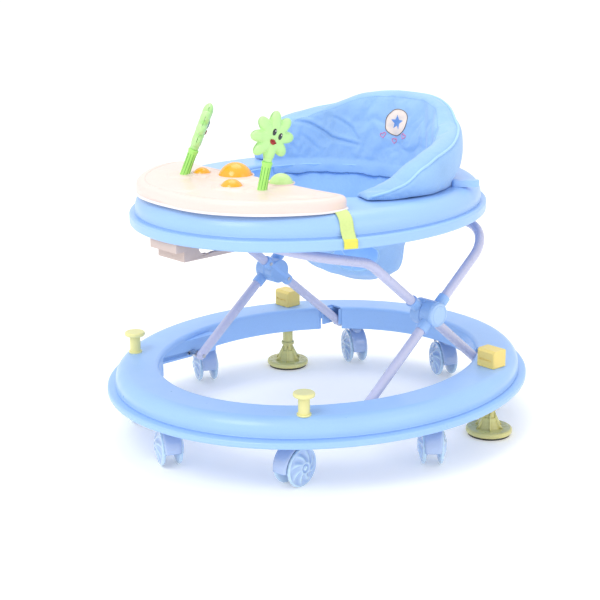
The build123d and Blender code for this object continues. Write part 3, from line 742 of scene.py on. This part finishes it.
# toy tray: a paler lower flange, and a raised line that follows the edge
TOY = [(0, -302), (70, -293), (128, -258), (170, -206), (191, -154), (184, -126), (150, -123), (70, -125), (0, -125)]
toy_ring_pts = TOY + [(-px_, py_) for px_, py_ in reversed(TOY[1:-1])]


def inset_loop(loop, d):
    P = np.asarray(loop)
    T = np.roll(P, -1, 0) - np.roll(P, 1, 0)
    T /= np.linalg.norm(T, axis=1)[:, None]
    Nn = np.stack([-T[:, 1], T[:, 0]], 1)
    c = P.mean(0)
    if np.mean(np.einsum("ij,ij->i", Nn, c - P)) < 0:
        Nn = -Nn
    return P + Nn * d


toy_loop = smooth_curve(toy_ring_pts, 260, closed=True)


def loft_strip(loop_a, loop_b, closed=True):
    n = len(loop_a)
    return list(loop_a) + list(loop_b), grid_faces(2, n, close_v=closed)


flange = []
lo, hi = inset_loop(toy_loop, -1.6), inset_loop(toy_loop, 0.35)
# a paler band around the lower edge of the tray, where it meets the ring
rows = [np.c_[inset_loop(toy_loop, 1.0), np.full(260, 393.2)], np.c_[inset_loop(toy_loop, -2.2), np.full(260, 393.3)],
        np.c_[inset_loop(toy_loop, -2.6), np.full(260, 394.4)], np.c_[inset_loop(toy_loop, -2.0), np.full(260, 395.8)],
        np.c_[inset_loop(toy_loop, -0.5), np.full(260, 396.6)], np.c_[inset_loop(toy_loop, 1.0), np.full(260, 396.9)]]
V = [p for r_ in rows for p in r_]
obj("toy_tray_flange", V, grid_faces(len(rows), 260, close_v=True, close_u=True), "peach_rim", "tray")
# a fine raised line on top, inside the rounded edge
top_loop = np.c_[inset_loop(toy_loop, 13.0), np.full(260, 412.95)]
V, F = tube(top_loop, 0.7, 6, closed=True)
obj("toy_tray_line", V, F, "peach", "tray")
# low moulded hills round the domes
HILLS = [(-24, -153, 47, 3.4), (32, -208, 33, 2.6), (-72, -178, 30, 2.8), (67, -144, 34, 2.4), (118, -170, 40, 1.9), (-128, -170, 38, 2.2), (78, -196, 24, 1.6), (-88, -204, 26, 1.8), (-20, -262, 38, 1.4)]
keep_in = inset_loop(toy_loop, 9.0)


def inside(px_, py_, loop):
    c = False
    j = len(loop) - 1
    for i in range(len(loop)):
        if (loop[i][1] > py_) != (loop[j][1] > py_) and px_ < (loop[j][0] - loop[i][0]) * (py_ - loop[i][1]) / (loop[j][1] - loop[i][1]) + loop[i][0]:
            c = not c
        j = i
    return c


gx, gy = np.arange(-196, 197, 2.0), np.arange(-306, -118, 2.0)
H = np.full((len(gx), len(gy)), -1.0)
for i, x in enumerate(gx):
    for j, y in enumerate(gy):
        if not inside(x, y, keep_in):
            continue
        edge_d = float(np.min(np.hypot(keep_in[:, 0] - x, keep_in[:, 1] - y)))
        h = 0.0
        for hx, hy, r, top in HILLS:
            d = math.hypot(x - hx, (y - hy) * 1.05) + 2.2 * math.sin(math.atan2(y - hy, x - hx) * 5 + hx)
            w = min(1.0, max(0.0, (r - d) / 7.0))
            h = max(h, top * w * w * (3 - 2 * w))
        e = min(1.0, edge_d / 8.0)
        H[i, j] = h * e * e * (3 - 2 * e)
V, F, ids = [], [], {}
for i in range(len(gx)):
    for j in range(len(gy)):
        if H[i, j] >= 0:
            ids[i, j] = len(V)
            V.append((gx[i], gy[j], 412.7 + H[i, j] + (0.25 if H[i, j] > 0.02 else 0.0)))
for (i, j), a_ in ids.items():
    q = [(i, j), (i + 1, j), (i + 1, j + 1), (i, j + 1)]
    if all(t_ in ids for t_ in q) and max(H[t_] for t_ in q) > 0.02:
        F.append(tuple(ids[t_] for t_ in q))
obj("toy_tray_relief", V, F, "peach", "tray")
# sockets round the domes
for nm, cx, cy, r in (("a", -24, -153, 27.2), ("b", 32, -208, 18.2), ("c", -72, -178, 15.2), ("d", 67, -144, 19.4)):
    pts = [np.array([cx + r * math.cos(a), cy + r * math.sin(a), 413.6 + (2.2 if nm != "b" else 1.6)]) for a in np.linspace(0, 2 * math.pi, 56, endpoint=False)]
    V, F = tube(pts, 1.1, 8, closed=True)
    obj(f"toy_socket_{nm}", V, F, "peach", "tray")

# ------------------------------------------------------------------ webbing straps
STRAP = [(70, 394.3), (50, 394.3), (33, 394.3), (24, 393.2), (17, 389.5), (12, 384), (8.3, 372), (3, 362.5), (-1.0, 358), (-1.5, 352), (-1.6, 347.5)]


def ring_hit(q, nrm, a, b, cy=TRAY_Y):
    """Distance along nrm from q to the ellipse (a, b)."""
    A = (nrm[0] / a) ** 2 + (nrm[1] / b) ** 2
    B = 2 * (q[0] * nrm[0] / a ** 2 + (q[1] - cy) * nrm[1] / b ** 2)
    Cc = (q[0] / a) ** 2 + ((q[1] - cy) / b) ** 2 - 1
    return (-B + math.sqrt(B * B - 4 * A * Cc)) / (2 * A)


def strap_surface(s, prof, half, lift, nw=13):
    nrm = np.array([s * math.cos(math.radians(17)), -math.sin(math.radians(17)), 0.0])
    tan = np.array([s * math.sin(math.radians(17)), math.cos(math.radians(17)), 0.0])
    cum = np.r_[0, np.cumsum(np.linalg.norm(np.diff(prof, axis=0), axis=1))]
    V, UV = [], []
    for i, (d, z) in enumerate(prof):
        td = prof[min(i + 1, len(prof) - 1)] - prof[max(i - 1, 0)]
        td = td / (np.linalg.norm(td) + 1e-9)
        out_d, out_z = td[1], -td[0]                      # away from the ring
        for k in range(nw):
            w = (k / (nw - 1) - 0.5) * 2 * half
            q = np.array([s * 204.0, -150.0, 0.0]) + tan * (w + 0.35 * math.sin(cum[i] * 0.06 + s))
            wave = lift + 0.10 * math.sin(cum[i] * 0.21 + k * 0.5)
            dd = d + out_d * wave
            p = q + nrm * ring_hit(q, nrm, TRAY_A - dd, TRAY_B - dd)
            V.append((p[0], p[1], z + out_z * wave))
            UV.append((w, cum[i]))
    return V, UV, cum


for side, s in (("left", 1), ("right", -1)):
    prof = smooth_curve(STRAP, 70)
    V, UV, cum = strap_surface(s, prof, 10.0, 0.75)
    o = obj(f"strap_{side}", V, grid_faces(70, 13, flip=(s < 0)), "strap", "tray", ["tray_straps"] if side == "left" else [], uv=UV)
    sd = o.modifiers.new("thick", "SOLIDIFY")
    sd.thickness, sd.offset = 0.0011, 0.0
    # folded and stitched hem at the hanging end
    start = int(np.searchsorted(cum, cum[-1] - 13))
    V, UV, c2 = strap_surface(s, prof[start:], 10.15, 1.95)
    hem = obj(f"strap_{side}_hem", V, grid_faces(70 - start, 13, flip=(s < 0)), "strap_end", "tray", uv=UV)
    sd = hem.modifiers.new("thick", "SOLIDIFY")
    sd.thickness, sd.offset = 0.0010, 0.0
    stitches = []
    for row in (2.0, 10.5):
        zi = int(np.searchsorted(c2, row))
        for k in range(1, 12):
            a, b = np.array(V[min(zi, 69 - start) * 13 + k - 1]), np.array(V[min(zi, 69 - start) * 13 + k])
            nn = (b - a) / (np.linalg.norm(b - a) + 1e-9)
            out = np.cross(nn, np.array([0, 0, 1.0]))
            out = out if out[0] * s > 0 else -out
            mid = (a + b) / 2 + out * 0.55
            stitches.append(tube([mid - nn * 0.55, mid, mid + nn * 0.55], [0.16, 0.24, 0.16], 6))
    Vs, Fs = join(stitches)
    st = obj(f"strap_{side}_stitches", Vs, Fs, "strap", "tray")

# ------------------------------------------------------------------ backrest pad
PHI0, PHI1 = math.radians(-33.0), math.radians(173.6)
RIM = np.array([(-80, 398), (-66, 401), (-50, 408), (-21, 423), (3, 441), (40, 456), (80, 464), (120, 475), (152, 485), (178, 501), (200, 508.5), (240, 509.5)], float)


RIM_SHORT = np.array([(-80, 398), (34, 398), (37, 402), (48, 418), (62, 440), (76, 457.5), (84, 463.5), (100, 469), (120, 475), (152, 485), (178, 501), (200, 508.5), (240, 509.5)], float)


def pad_wall(z, which):
    t = (z - 393.4) / 118.6
    sw = math.sin(math.pi * min(1.0, max(0.0, t)) ** 0.9)
    return (202 - 16 * t + 13 * sw, 165 + 25 * t + 12 * sw, 20 + 2 * t) if which == "out" else (160 + 6 * t, 140 + 32 * t, 20 + 2 * t)


def wall_point(phi, z, which, d=0.0):
    a, b, c = pad_wall(z, which)
    return np.array([(a + d) * math.cos(phi), c + (b + d) * math.sin(phi), z])


def rim_height(phi, mid=0.5):
    z = 450.0
    for _ in range(14):
        ao, bo, co = pad_wall(z, "out")
        ai, bi, ci = pad_wall(z, "in")
        y = (co + bo * math.sin(phi)) * mid + (ci + bi * math.sin(phi)) * (1 - mid)
        tab = RIM if math.cos(phi) > 0 else RIM_SHORT
        z = 0.5 * z + 0.5 * float(np.interp(y, tab[:, 0], tab[:, 1]))
    return z


# the cover runs on over the edge of the hole and hangs inside it
TONGUE = [(390.5, 152.6, 136.6, 20.5), (385.0, 148.6, 134.2, 21), (379.0, 147.3, 133.0, 21), (371.6, 146.8, 132.2, 21),
          (371.6, 153.0, 138.2, 21.5), (380.0, 153.6, 138.8, 22), (388.0, 155.2, 140.6, 22), (393.9, 163.5, 147.5, 21.5)]
NPHI = 150
phis = np.linspace(PHI0, PHI1, NPHI)
V = []
Z0 = 393.9
NS = 30
for phi in phis:
    zr = rim_height(phi)
    zr = max(zr, Z0 + 5.0)
    h = zr - Z0
    po, pi_ = wall_point(phi, zr, "out"), wall_point(phi, zr, "in")
    th = np.linalg.norm(po - pi_)
    rho = min(0.5 * th, 0.45 * h)
    sec = []
    for q in np.linspace(0, 1, 11):
        sec.append(wall_point(phi, Z0 + q * (h - rho), "out"))
    e1, e2 = wall_point(phi, zr - rho, "out"), wall_point(phi, zr - rho, "in")
    c = (e1 + e2) / 2
    ax = (e1 - e2) / 2
    for a in np.linspace(0, math.pi, 9)[1:-1]:
        sec.append(c + ax * math.cos(a) + np.array([0, 0, rho * math.sin(a)]))
    for q in np.linspace(1, 0, 11):
        sec.append(wall_point(phi, Z0 + q * (h - rho), "in"))
    for z_, a_, b_, c_ in TONGUE:
        sec.append(np.array([a_ * math.cos(phi), c_ + b_ * math.sin(phi), z_]))
    sec.append(wall_point(phi, Z0, "in") * 0.45 + sec[0] * 0.55)
    V.extend(sec)
NS = len(sec)
F = grid_faces(NPHI, NS, close_v=True)
F.append(tuple(range(NS)))
F.append(tuple(reversed(range((NPHI - 1) * NS, NPHI * NS))))
pad = obj("backrest_cushion", V, F, "cloth", "tray", ["backrest_pad"])


def run_modifiers(o):
    dg = bpy.context.evaluated_depsgraph_get()
    me = bpy.data.meshes.new_from_object(o.evaluated_get(dg), depsgraph=dg)
    old = o.data
    o.modifiers.clear()
    o.data = me
    if old.users == 0:
        bpy.data.meshes.remove(old)


def coords(o):
    co = np.zeros(len(o.data.vertices) * 3)
    o.data.vertices.foreach_get("co", co)
    return co.reshape(-1, 3) / MM


def set_coords(o, co):
    o.data.vertices.foreach_set("co", (np.asarray(co) * MM).ravel())
    o.data.update()


def normals(o):
    o.data.update()
    no = np.zeros(len(o.data.vertices) * 3)
    o.data.vertices.foreach_get("normal", no)
    return no.reshape(-1, 3)


bm = bmesh.new()
bm.from_mesh(pad.data)
bmesh.ops.recalc_face_normals(bm, faces=bm.faces)
bm.to_mesh(pad.data)
bm.free()
rm = pad.modifiers.new("remesh", "REMESH")
rm.mode = "VOXEL"
rm.voxel_size = 0.0037
run_modifiers(pad)

# fold lines on the inside of the pad: points, width, depth, and how much the cloth laps over on the upper side
FOLDS = [
    ([(-150.5, 82.0, 457.4), (-143.5, 95.0, 456.0), (-135.7, 107.2, 452.1), (-122.0, 121.0, 441.0), (-108.2, 132.0, 429.7), (-90.0, 143.5, 424.5), (-72.0, 152.3, 420.5)], 5.0, 3.2, 3.4),
    ([(-113.2, 136.0, 463.9), (-100.0, 144.5, 456.5), (-87.4, 151.3, 447.3), (-80.0, 153.0, 438.0), (-74.1, 153.4, 428.4)], 4.6, 2.2, 1.8),
    ([(-139.0, 90.0, 436.0), (-133.0, 100.0, 427.0), (-129.3, 108.1, 418.4), (-124.5, 112.5, 411.0)], 5.0, 1.9, 1.8),
    ([(-153.0, 66.0, 432.0), (-150.0, 72.0, 424.0), (-146.4, 81.0, 413.6)], 4.6, 1.4, 1.2),
    ([(-52.0, 166.0, 446.0), (-58.0, 160.0, 428.0), (-59.5, 156.5, 412.0)], 6.0, 1.2, 0.6),
    ([(96.0, 141.0, 436.0), (110.0, 133.0, 442.0), (126.0, 119.0, 452.0), (141.0, 102.0, 461.0)], 4.6, 2.0, 1.8),
    ([(60.0, 160.0, 408.0), (84.0, 148.0, 418.0), (104.0, 132.0, 424.0)], 6.0, 1.1, 0.8),
    ([(151.0, 56.0, 436.0), (149.0, 66.0, 428.0), (145.0, 80.0, 416.0)], 5.0, 1.3, 1.0),
]


def line_field(co, line):
    """Distance to the polyline, and signed height above it, for each point."""
    P = smooth_curve(line, 40)
    d = np.full(len(co), 1e9)
    side = np.zeros(len(co))
    along = np.zeros(len(co))
    for i in range(len(P)):
        v = co - P[i]
        n = np.linalg.norm(v, axis=1)
        m = n < d
        d[m] = n[m]
        side[m] = v[m][:, 2]
        along[m] = i / (len(P) - 1)
    return d, side, along


co = coords(pad)
no = normals(pad)
ang = np.arctan2(co[:, 1] - 20, co[:, 0])
t = (co[:, 2] - 393.4) / 118.6
inner_e = (co[:, 0] / (160 + 6 * t)) ** 2 + ((co[:, 1] - 20 - 2 * t) / (140 + 32 * t)) ** 2
on_inner = np.clip((1.12 - inner_e) / 0.10, 0, 1)
vg = pad.vertex_groups.new(name="pin")
hold = np.clip((399.0 - co[:, 2]) / 3.0, 0, 1)
for line, w, dep, lap in FOLDS:
    d, side, along = line_field(co, line)
    end = np.sin(np.pi * np.clip(along * 0.9 + 0.05, 0, 1)) ** 0.6
    k = np.exp(-(d / (w * 0.8)) ** 2) * on_inner * end
    co -= no * (k * dep * 0.8)[:, None]
    hold = np.maximum(hold, np.clip(k, 0, 1) * 0.75)
set_coords(pad, co)
for i in range(len(co)):
    if hold[i] > 0.02:
        vg.add([i], float(hold[i]), "REPLACE")
before = co.copy()
cm = pad.modifiers.new("cloth", "CLOTH")
cs = cm.settings
cs.quality = 6
cs.mass = 0.3
cs.tension_stiffness = cs.compression_stiffness = 18
cs.shear_stiffness = 9
cs.bending_stiffness = 1.2
cs.use_pressure = True
cs.uniform_pressure_force = 4.0
cs.shrink_min = -0.02
cs.effector_weights.gravity = 0.0
cs.vertex_group_mass = "pin"
cs.pin_stiffness = 2.0
cm.point_cache.frame_start = 1
cm.point_cache.frame_end = 20
for f_ in range(1, 21):
    scene.frame_set(f_)
run_modifiers(pad)
scene.frame_set(1)
now = coords(pad)
mv = now - before
ln = np.linalg.norm(mv, axis=1)
cap = 4.5
mv *= np.minimum(1.0, cap / np.maximum(ln, 1e-6))[:, None]
print("pad moved", round(float(ln.max()), 2), "mm at most before the cap")
set_coords(pad, before + mv)
sb = pad.modifiers.new("smooth", "SUBSURF")
sb.levels = sb.render_levels = 1
run_modifiers(pad)

co = coords(pad)
no = normals(pad)
t = (co[:, 2] - 393.4) / 118.6
inner_e = (co[:, 0] / (160 + 6 * t)) ** 2 + ((co[:, 1] - 20 - 2 * t) / (140 + 32 * t)) ** 2
on_inner = np.clip((1.15 - inner_e) / 0.10, 0, 1)
for line, w, dep, lap in FOLDS:
    d, side, along = line_field(co, line)
    end = np.sin(np.pi * np.clip(along * 0.92 + 0.04, 0, 1)) ** 0.5
    lip = np.exp(-((side - w * 0.75) / (w * 0.8)) ** 2) * np.exp(-(d / (w * 1.9)) ** 2)
    trench = np.exp(-((side + w * 0.25) / (w * 0.35)) ** 2) * np.exp(-(d / (w * 1.1)) ** 2)
    co += no * ((lap * lip - dep * 0.55 * trench) * on_inner * end)[:, None]
# small loose waves all over, a little stronger near the bottom edge
a = np.arctan2(co[:, 1] - 20, co[:, 0])
wob = 0.55 * np.sin(a * 19 + co[:, 2] * 0.05) * np.exp(-((co[:, 2] - 400) / 14) ** 2) + 0.35 * np.sin(a * 9 + co[:, 2] * 0.09 + 1.3)
co += no * wob[:, None]
# the bottom stays clear of the ring
outside = (co[:, 0] / 160.5) ** 2 + ((co[:, 1] - 22) / 147.5) ** 2 > 1
co[outside, 2] = np.maximum(co[outside, 2], 393.6)
low = np.clip((380 - co[:, 2]) / 8.0, 0, 1)
co[:, 2] += low * (0.9 * np.sin(a * 13 + 0.4) + 0.6 * np.sin(a * 29 + 1.0))
inw = co[:, :2] / (np.linalg.norm(co[:, :2], axis=1)[:, None] + 1e-9)
co[:, :2] -= inw * (np.clip((388 - co[:, 2]) / 16.0, 0, 1) * (0.7 * np.sin(a * 21 + 0.7 * np.sin(a * 5))))[:, None]
set_coords(pad, co)
pad.data.polygons.foreach_set("use_smooth", [True] * len(pad.data.polygons))
pad.data.materials.clear()
pad.data.materials.append(M["cloth"])

dgp = BVHTree.FromPolygons([Vector(v) for v in coords(pad)], [tuple(p.vertices) for p in pad.data.polygons])


def surface_line(points, lift, centre=(0, 20)):
    """Drops each point on the nearest place on the pad's skin and lifts it along the normal there."""
    out = []
    for p in points:
        hit, nn, _, _ = dgp.find_nearest(Vector(p))
        out.append(np.array(hit) + np.array(nn) * lift)
    return np.array(out)


# piping on the outer side of the rim, and a stitched seam inside it
ph = np.linspace(math.radians(-31), math.radians(172.6), 200)
rim_out, rim_in, hem_out = [], [], []
for p in ph:
    zr = max(rim_height(p), Z0 + 5.5)
    rho = min(7.0, 0.35 * (zr - Z0))
    rim_out.append(wall_point(p, zr - 0.45 * rho, "out", 0.5))
    rim_in.append(wall_point(p, zr - 0.9 * rho, "in", -0.5))
    hem_out.append(wall_point(p, Z0 + 4.2, "out", 0.5))
pip = surface_line(rim_out, 0.9)
for _ in range(3):
    pip[1:-1] = (pip[:-2] + pip[1:-1] * 2 + pip[2:]) / 4
V, F = tube(pip, 1.9, 10)
obj("backrest_piping", V, F, "piping", "tray")
for nm, line, lift, r in (("inner", rim_in, 0.15, 0.34), ("hem", hem_out, 0.1, 0.34)):
    L = surface_line(line, lift)
    stitches = []
    for i in range(0, len(L) - 1):
        a_, b_ = L[i], L[i + 1]
        if np.linalg.norm(b_ - a_) > 14:
            continue
        stitches.append(tube([a_ + (b_ - a_) * 0.12, (a_ + b_) / 2, a_ + (b_ - a_) * 0.72], [r * 0.6, r, r * 0.6], 6))
    Vs, Fs = join(stitches)
    obj(f"backrest_stitches_{nm}", Vs, Fs, "thread", "tray")

# painted shadow: a dark tube along the hem that hangs in the hole, standing for the shadow gap under the tongue
hem_shadow_line = surface_line([np.array([146.8 * math.cos(p), 21 + 131.8 * math.sin(p), 373.0 + 0.9 * math.sin(p * 13 + 0.4)]) for p in np.linspace(math.radians(-30), math.radians(171), 200)], 0.1)
V, F = tube(hem_shadow_line, 0.8, 6)
obj("backrest_hem_shadow", V, F, "seam", "tray")

# ------------------------------------------------------------------ sewn emblem on the inside of the rear wall
def on_wall(x, z, lift):
    hit = dgp.ray_cast(Vector((x, 60.0, z)), Vector((0, 1, 0)))
    if hit[0] is None:
        hit = dgp.find_nearest(Vector((x, 178.0, z)))
        return np.array(hit[0]) + np.array(hit[1]) * lift
    return np.array(hit[0]) - np.array([0, 1.0, 0]) * lift


def patch_shape(name, outline, centre, mat, lift, rings=7):
    """A flat sewn shape laid on the wall: outline is a closed list of (x, z)."""
    O = np.asarray(outline, float)
    c = np.asarray(centre, float)
    V = []
    for i in range(rings):
        u = i / (rings - 1)
        for p in O:
            q = c + (p - c) * u
            w = on_wall(q[0], q[1], lift * (1 - 0.4 * u ** 6))
            V.append(w)
    return obj(name, V, grid_faces(rings, len(O), close_v=True), mat, "tray")


def oval(cx, cz, rx, rz, n=60, squash=0.0, tilt=0.0):
    out = []
    for k in range(n):
        a = 2 * math.pi * k / n
        x, z = rx * math.cos(a), rz * math.sin(a)
        x *= 1 + squash * math.sin(a)
        out.append((cx + x * math.cos(tilt) - z * math.sin(tilt), cz + x * math.sin(tilt) + z * math.cos(tilt)))
    return out


EX, EZ = -7.0, 461.0
patch = patch_shape("emblem_patch", oval(EX, EZ, 22.5, 20.5, squash=0.06), (EX, EZ), "patch", 0.55)
edge = [on_wall(x, z, 0.6) for x, z in oval(EX, EZ, 22.9, 20.9, 90, squash=0.06)]
V, F = tube(edge, 0.55, 6, closed=True)
bits = [obj("emblem_edge", V, F, "brown", "tray")]
# a plain five-pointed star in the middle of the patch
star = []
for k in range(10):
    r = 12.5 if k % 2 == 0 else 5.6
    a0, a1 = math.radians(90 + 36 * k), math.radians(90 + 36 * (k + 1))
    r1 = 5.6 if k % 2 == 0 else 12.5
    for q in range(4):
        g = q / 4
        star.append((EX + (1 - g) * r * math.cos(a0) + g * r1 * math.cos(a1), EZ + (1 - g) * r * math.sin(a0) + g * r1 * math.sin(a1)))
bits.append(patch_shape("emblem_star", star, (EX, EZ), "star", 0.95, 6))
hearts = []
for k, (hx, hz, rot) in enumerate(((-27.5, 439.5, 0.35), (-6.5, 432.0, 0.0), (15.5, 442.0, -0.35))):
    pts = []
    for i in range(36):
        a = 2 * math.pi * i / 36
        x = 4.6 * math.sin(a) ** 3
        z = (13 * math.cos(a) - 5 * math.cos(2 * a) - 2 * math.cos(3 * a) - math.cos(4 * a)) * 0.29
        pts.append((hx + x * math.cos(rot) - z * math.sin(rot), hz + x * math.sin(rot) + z * math.cos(rot)))
    loop = [on_wall(x, z, 0.35) for x, z in pts]
    hearts.append(tube(loop, 0.62, 6, closed=True))
V, F = join(hearts)
bits.append(obj("emblem_hearts", V, F, "pink", "tray"))

# ------------------------------------------------------------------ seat sling: a hung bag with two leg openings
SEC = [(387, 151.6, 138.6, 22), (372, 150.5, 136.5, 24), (340, 132, 116, 36), (312, 116, 103, 47), (287, 98.5, 88.5, 57), (257, 82.5, 74.5, 73), (243, 73, 66, 81), (234, 57, 53, 91), (226, 42, 40, 97), (219, 22, 21, 100), (216.5, 0.5, 0.5, 101)]
sec = smooth_curve(SEC, 90)
NSA = 300
LEGS = [(np.array([s * 40.0, 35.0, 300.0]), np.array([s * 0.66, -0.60, -0.45]) / math.sqrt(0.66 ** 2 + 0.6 ** 2 + 0.45 ** 2)) for s in (1, -1)]


def sling_point(i, k, extra=0.0):
    z, a_, b_, c_ = sec[i]
    g = i / (len(sec) - 1)
    p = 2 * math.pi * k / NSA
    top = math.exp(-((387 - z) / 34.0) ** 2)
    low = math.exp(-((z - 250) / 26.0) ** 2)
    # gathers under the edge of the hole run out a hand's width down; soft broad folds below
    wv = top * (1.5 * math.sin(17 * p + 0.8 * math.sin(4 * p)) + 0.7 * math.sin(41 * p + 2)) + (1 - top) * 1.1 * math.sin(7 * p + z * 0.02)
    wv += low * 0.9 * math.sin(11 * p + z * 0.05)
    wv *= min(1.0, a_ / 50.0)
    wv -= 1.4 * top + 0.5
    a2, b2 = max(0.2, a_ + wv + extra), max(0.2, b_ + wv + extra)
    return np.array([a2 * math.cos(p), c_ + b2 * math.sin(p), z])


V, UV = [], []
drop = np.r_[0, np.cumsum(np.hypot(np.diff(sec[:, 0]), np.diff((sec[:, 1] + sec[:, 2]) / 2)))]
for i in range(len(sec)):
    for k in range(NSA):
        V.append(sling_point(i, k))
        UV.append((2 * math.pi * k / NSA * 100.0, drop[i]))
V = np.array(V)


def leg_state(P):
    """Signed distance outside each leg tube, for points on the side the tube leaves by."""
    best = np.full(len(P), 1e9)
    which = np.zeros(len(P), int)
    for j, (c, d) in enumerate(LEGS):
        q = P - c
        al = q @ d
        rad = np.linalg.norm(q - al[:, None] * d, axis=1) - 36.0
        rad[al < 0] = 1e9
        m = rad < best
        best[m] = rad[m]
        which[m] = j
    return best, which


gone, leg = leg_state(V)
faces = [f for f in grid_faces(len(sec), NSA, close_v=True) if not all(gone[i] < 0 for i in f)]
used = set(i for f in faces for i in f)
for i in used:
    if gone[i] < 0:
        c, d = LEGS[leg[i]]
        q = V[i] - c
        al = q @ d
        perp = q - al * d
        V[i] = c + al * d + perp / np.linalg.norm(perp) * 36.0
keep = sorted(used)
index = {v: n for n, v in enumerate(keep)}
V2 = V[keep]
F2 = [tuple(index[i] for i in f) for f in faces]
sling = obj("seat_cloth", V2, F2, "cloth_in", "tray", ["seat_sling"], uv=[UV[i] for i in keep])
# bound edges of the two leg openings, and the hem at the top
bm = bmesh.new()
bm.from_mesh(sling.data)
bm.verts.ensure_lookup_table()
edges = [e for e in bm.edges if len(e.link_faces) == 1]
nxt = {}
for e in edges:
    a_, b_ = e.verts
    nxt.setdefault(a_.index, []).append(b_.index)
    nxt.setdefault(b_.index, []).append(a_.index)
loops, seen = [], set()
for s_ in list(nxt):
    if s_ in seen:
        continue
    loop, cur, prev = [s_], s_, None
    seen.add(s_)
    while True:
        cand = [q for q in nxt[cur] if q != prev and q not in seen]
        if not cand:
            break
        prev, cur = cur, cand[0]
        loop.append(cur)
        seen.add(cur)
    loops.append(loop)
co = np.array([v.co[:] for v in bm.verts]) / MM
bm.free()
for n_, loop in enumerate(sorted(loops, key=len, reverse=True)[:4]):
    P = co[loop]
    if len(P) < 24 or np.ptp(P[:, 0]) < 12:
        continue
    for _ in range(4):
        P = (np.roll(P, 1, 0) + 2 * P + np.roll(P, -1, 0)) / 4
    Vt, Ft = tube(P, 1.7 if np.ptp(P[:, 2]) > 10 else 1.3, 8, closed=True)
    obj(f"seat_binding_{n_}", Vt, Ft, "piping", "tray")


def sling_seam(p0, g0, p1, g1, n=50):
    """Stitched seam along the cloth between two places given as (angle, share of the way down)."""
    out = []
    for q in np.linspace(0, 1, n):
        g = g0 + (g1 - g0) * q
        i = min(len(sec) - 2, max(0, g * (len(sec) - 1)))
        k = (p0 + (p1 - p0) * q) / (2 * math.pi) * NSA
        i0 = int(i)
        a_ = sling_point(i0, k, 0.6) * (1 - (i - i0)) + sling_point(i0 + 1, k, 0.6) * (i - i0)
        out.append(a_)
    return np.array(out)


seams = []
for deg in (-52, -128, 24, 156):
    L = sling_seam(math.radians(deg), 0.30, math.radians(deg + (8 if deg < 0 else 0)), 0.86)
    st_, _ = leg_state(L)
    L = L[st_ > 1.5]
    if len(L) > 8:
        seams.append(tube(L, 0.9, 8))
Vt, Ft = join(seams)
seam_o = obj("seat_seams", Vt, Ft, "piping", "tray")
sd = sling.modifiers.new("thick", "SOLIDIFY")
sd.thickness, sd.offset = 0.0016, 0.0

me = bpy.data.meshes.new("floor")
me.from_pydata([(-30, -30, 0), (30, -30, 0), (30, 30, 0), (-30, 30, 0)], [], [(0, 1, 2, 3)])
floor = bpy.data.objects.new("floor", me)
me.materials.append(fm)
scene.collection.objects.link(floor)
bpy.context.view_layer.update()
